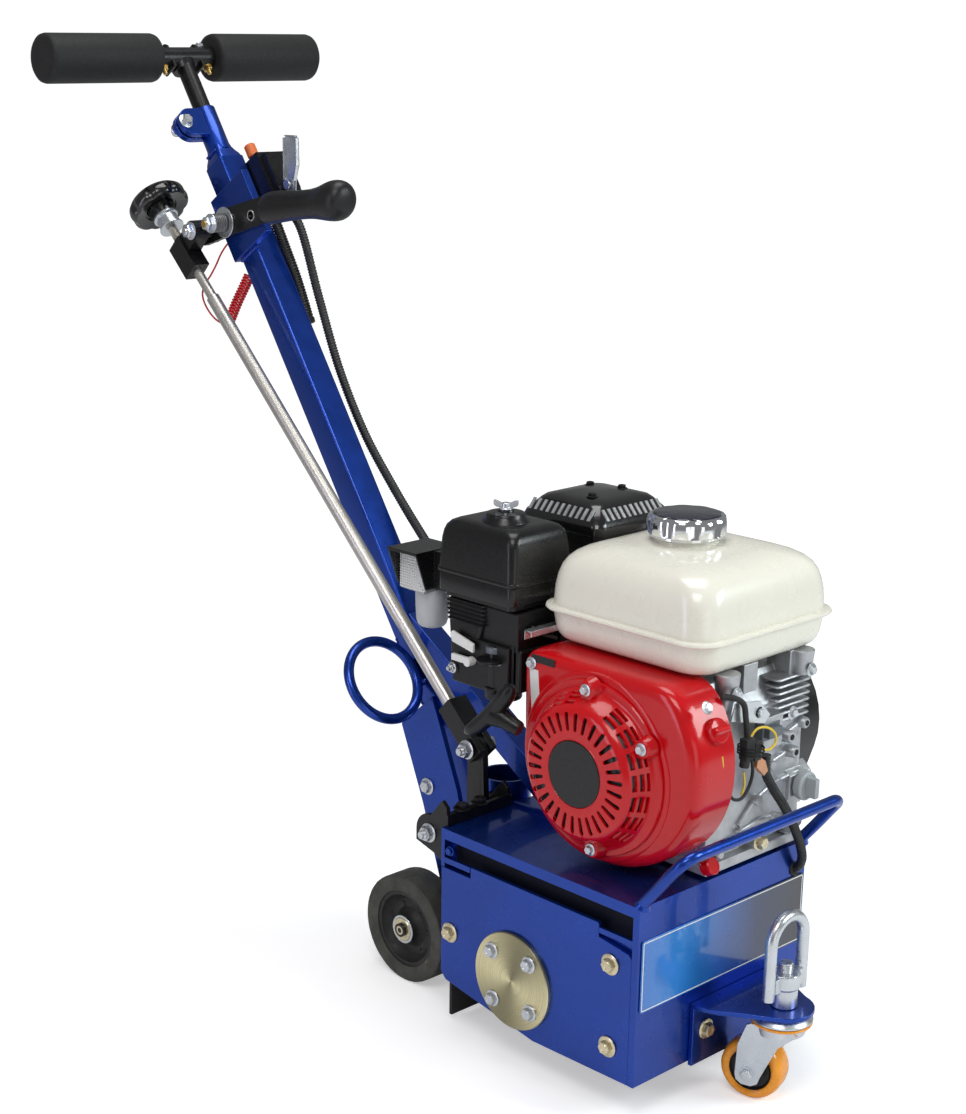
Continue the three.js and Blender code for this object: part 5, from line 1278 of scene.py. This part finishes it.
for i in range(11):
    x_ = 182 + i * 8.6
    quad = []
    for t0 in (0.10, 0.92):
        y_, z_ = 218 + 11 * t0, 511 + 13 * t0
        quad.append([(x_ - 1.9, y_ - 0.6, z_ + 0.5), (x_ + 1.9, y_ - 0.6, z_ + 0.5), (x_ + 1.9, y_ + 0.5, z_ - 0.42), (x_ - 1.9, y_ + 0.5, z_ - 0.42)])
    skin(bm, quad)
make("muffler_slots", bm, "slot_bright", "base", smooth=30)
for i, (xx, yy) in enumerate(((196, 256), (250, 262), (236, 296))):
    bolt(f"muffler_bolt_{i}", (xx, yy, 531.2 if i else 531.0), (0, 0, 1), 8, 3.2, "black_paint", "base", flange=6.4, fh=1.4)

# ---------------------------------------------------------------- engine: crankcase front, coil, wiring and oil filler
bm = new()
for i in range(7):  # cooling fins on the cylinder beside the tank post
    z_ = 340 + i * 7.2
    loft_box(bm, [(196, 250, -2.5, 30, 4, z_), (195, 251, -3.5, 31, 4, z_ + 1.2), (196, 250, -2.5, 30, 4, z_ + 2.6)], 4)
make("front_fins", bm, "aluminium", "base", smooth=40)
bm = new()
for (xx, zz, rr, ln) in ((217, 322, 7.6, 12), (227, 303, 7.6, 11), (193, 296, 6.4, 9), (205, 272, 9, 8), (176, 262, 6.5, 7), (150, 232, 6, 6), (120, 218, 6, 6), (245, 330, 7, 9), (243, 222, 7.5, 8), (206, 236, 6, 6)):
    rod(bm, (xx, 8, zz), (xx, 4 - ln, zz), rr, 28, rr * 0.82, ch=1.2)
make("case_bosses", bm, "aluminium", "base", smooth=40)
# painted shade: black discs set in the boss ends stand for the shadowed hole interiors
bm = new()
for (xx, zz, rr, ln) in ((217, 322, 3.2, 12), (227, 303, 3.2, 11), (245, 330, 3.0, 9)):
    rod(bm, (xx, 4 - ln - 0.4, zz), (xx, 4 - ln + 1, zz), rr, 20)
make("boss_hole_painted_shade", bm, "pitch", "base", smooth=40)
bm = new()
for pts, w in (([(150, 240), (176, 262), (205, 272), (243, 276)], 3.4), ([(120, 218), (150, 232), (206, 236), (243, 222)], 3.2), ([(193, 296), (205, 272)], 3), ([(193, 296), (227, 303)], 3.2), ([(217, 322), (245, 330)], 3)):
    tube(bm, [(x_, 3.4, z_) for x_, z_ in pts], w, 14, 4)
make("case_ribs", bm, "aluminium", "base", smooth=60)
bm = new()
rod(bm, (117, 0.5, 384), (117, 0.5, 410), 11, 36, 13.2, ch=1.0)
rod(bm, (239, 2, 384), (239, 2, 410), 10, 36, 12.4, ch=1.0)
rod(bm, (112, 2, 362), (117, 0.5, 386), 8.5, 28)
make("tank_posts", bm, "aluminium", "base", smooth=40)
for i, (xx, yy, zz, d_) in enumerate(((117, -11.6, 391, (0, -1, 0)), (239, -9.6, 390, (0, -1, 0)), (150, -14.2, 366, (0, -1, 0)), (222, -2, 346, (0, -1, 0)))):
    bolt(f"case_bolt_{i}", (xx, yy, zz), d_, 8.5, 3.8, "zinc", "base", flange=7.2, fh=1.4)
bm = new()  # ignition coil and its bracket
block(bm, 158, 186, -15, -4, 332, 350)
block(bm, 161.5, 182.5, -21, -6, 336, 346.5)
make("coil_pack", bm, "gasket", "base", smooth=30, bevel=1.0)
bm = new()
prism(bm, [(106, 366), (160, 352), (168, 360), (150, 378), (112, 384)], "y", -15.6, -14.2)
make("coil_bracket", bm, "zinc", "base", smooth=30, bevel=0.4)
bm = new()
tube(bm, [(96, -10, 393), (106, -17, 391), (118, -20, 383), (122, -21, 366), (125, -21, 352), (124, -22, 340)], 3.0, 14)
tube(bm, [(124, -24, 336), (130, -25, 322), (133, -24, 306), (128, -23, 292), (118, -24, 286), (104, -25, 289), (94, -25.5, 300), (85, -25.5, 316), (80, -26.5, 330)], 1.7, 12)
make("black_leads", bm, "rubber", "base", smooth=60)
bm = new()
tube(bm, [(128, -22, 345), (136, -24, 354), (150, -26, 353), (162, -27, 344), (165, -26, 334), (157, -25, 328), (146, -24, 331)], 1.25, 12)
tube(bm, [(80, -27, 340), (81, -27.6, 330), (82.5, -27.2, 318)], 1.25, 12)
tube(bm, [(122, -22, 312), (124, -22, 298), (121, -21, 288)], 1.1, 12)
make("yellow_lead", bm, "yellow_wire", "base", smooth=60)
bm = new()
block(bm, 116, 129, -29, -19, 326, 348)
block(bm, 131, 141, -28, -19, 322, 342)
rod(bm, (119, -24, 318), (121, -24, 328), 5, 20)
make("lead_connectors", bm, "rubber", "base", smooth=30, bevel=1.0)
bm = new()
for z_ in (331, 334.4, 337.8):
    lathe(bm, [(12.6, -1.1), (13.6, -0.6), (13.6, 0.6), (12.6, 1.1)], (128.5, -24, z_), (0.08, 0, 1), 28, loop=True)
make("lead_ties", bm, "pitch", "base", smooth=50)
bm = new()
prism(bm, [(139, 326), (151, 318), (156, 306), (150, 302), (137, 314)], "y", -26, -20.5)
make("lead_clip", bm, "copper", "base", smooth=30, bevel=0.8)
bm = new()  # oil filler plug
rod(bm, (244, 6, 263), (244, -3.8, 263), 14.5, 48, 12.8, ch=0.8)
make("filler_neck", bm, "aluminium", "base", smooth=34)
bm = new()
lathe(bm, [(11, 3.8), (15, 3.6), (15.6, 4.6), (15.6, 10.6), (14.8, 12), (12.6, 12.6), (12.2, 11.6), (0, 11.6)], (244, 0, 263), (0, -1, 0), 64)
skin(bm, [[(x_, y_, z_) for x_, z_ in ((240.8, 252.4), (247.2, 252.4), (247.6, 262), (247.2, 273.6), (240.8, 273.6), (240.4, 262))] for y_ in (-10.6, -23.6)])
make("filler_plug", bm, "grey_plastic", "oil_stick", "dipstick", smooth=34, bevel=0.7)
bolt("drain_bolt", (184, 1.6, 214), (0, -1, 0), 12, 6.4, "gold_bolt", "base", flange=9.2, fh=2.2)
bolt("foot_bolt_a", (108, 8, 209.6), (0, 0, 1), 11, 5, "zinc", "base", flange=9, fh=1.8)
bolt("foot_bolt_b", (238, 8, 209.6), (0, 0, 1), 11, 5, "zinc", "base", flange=9, fh=1.8)
bm = new()
rod(bm, (107, 8, 205), (107, -3, 211), 9, 32, ch=1)
make("shroud_foot", bm, "red_paint", "base", smooth=34)
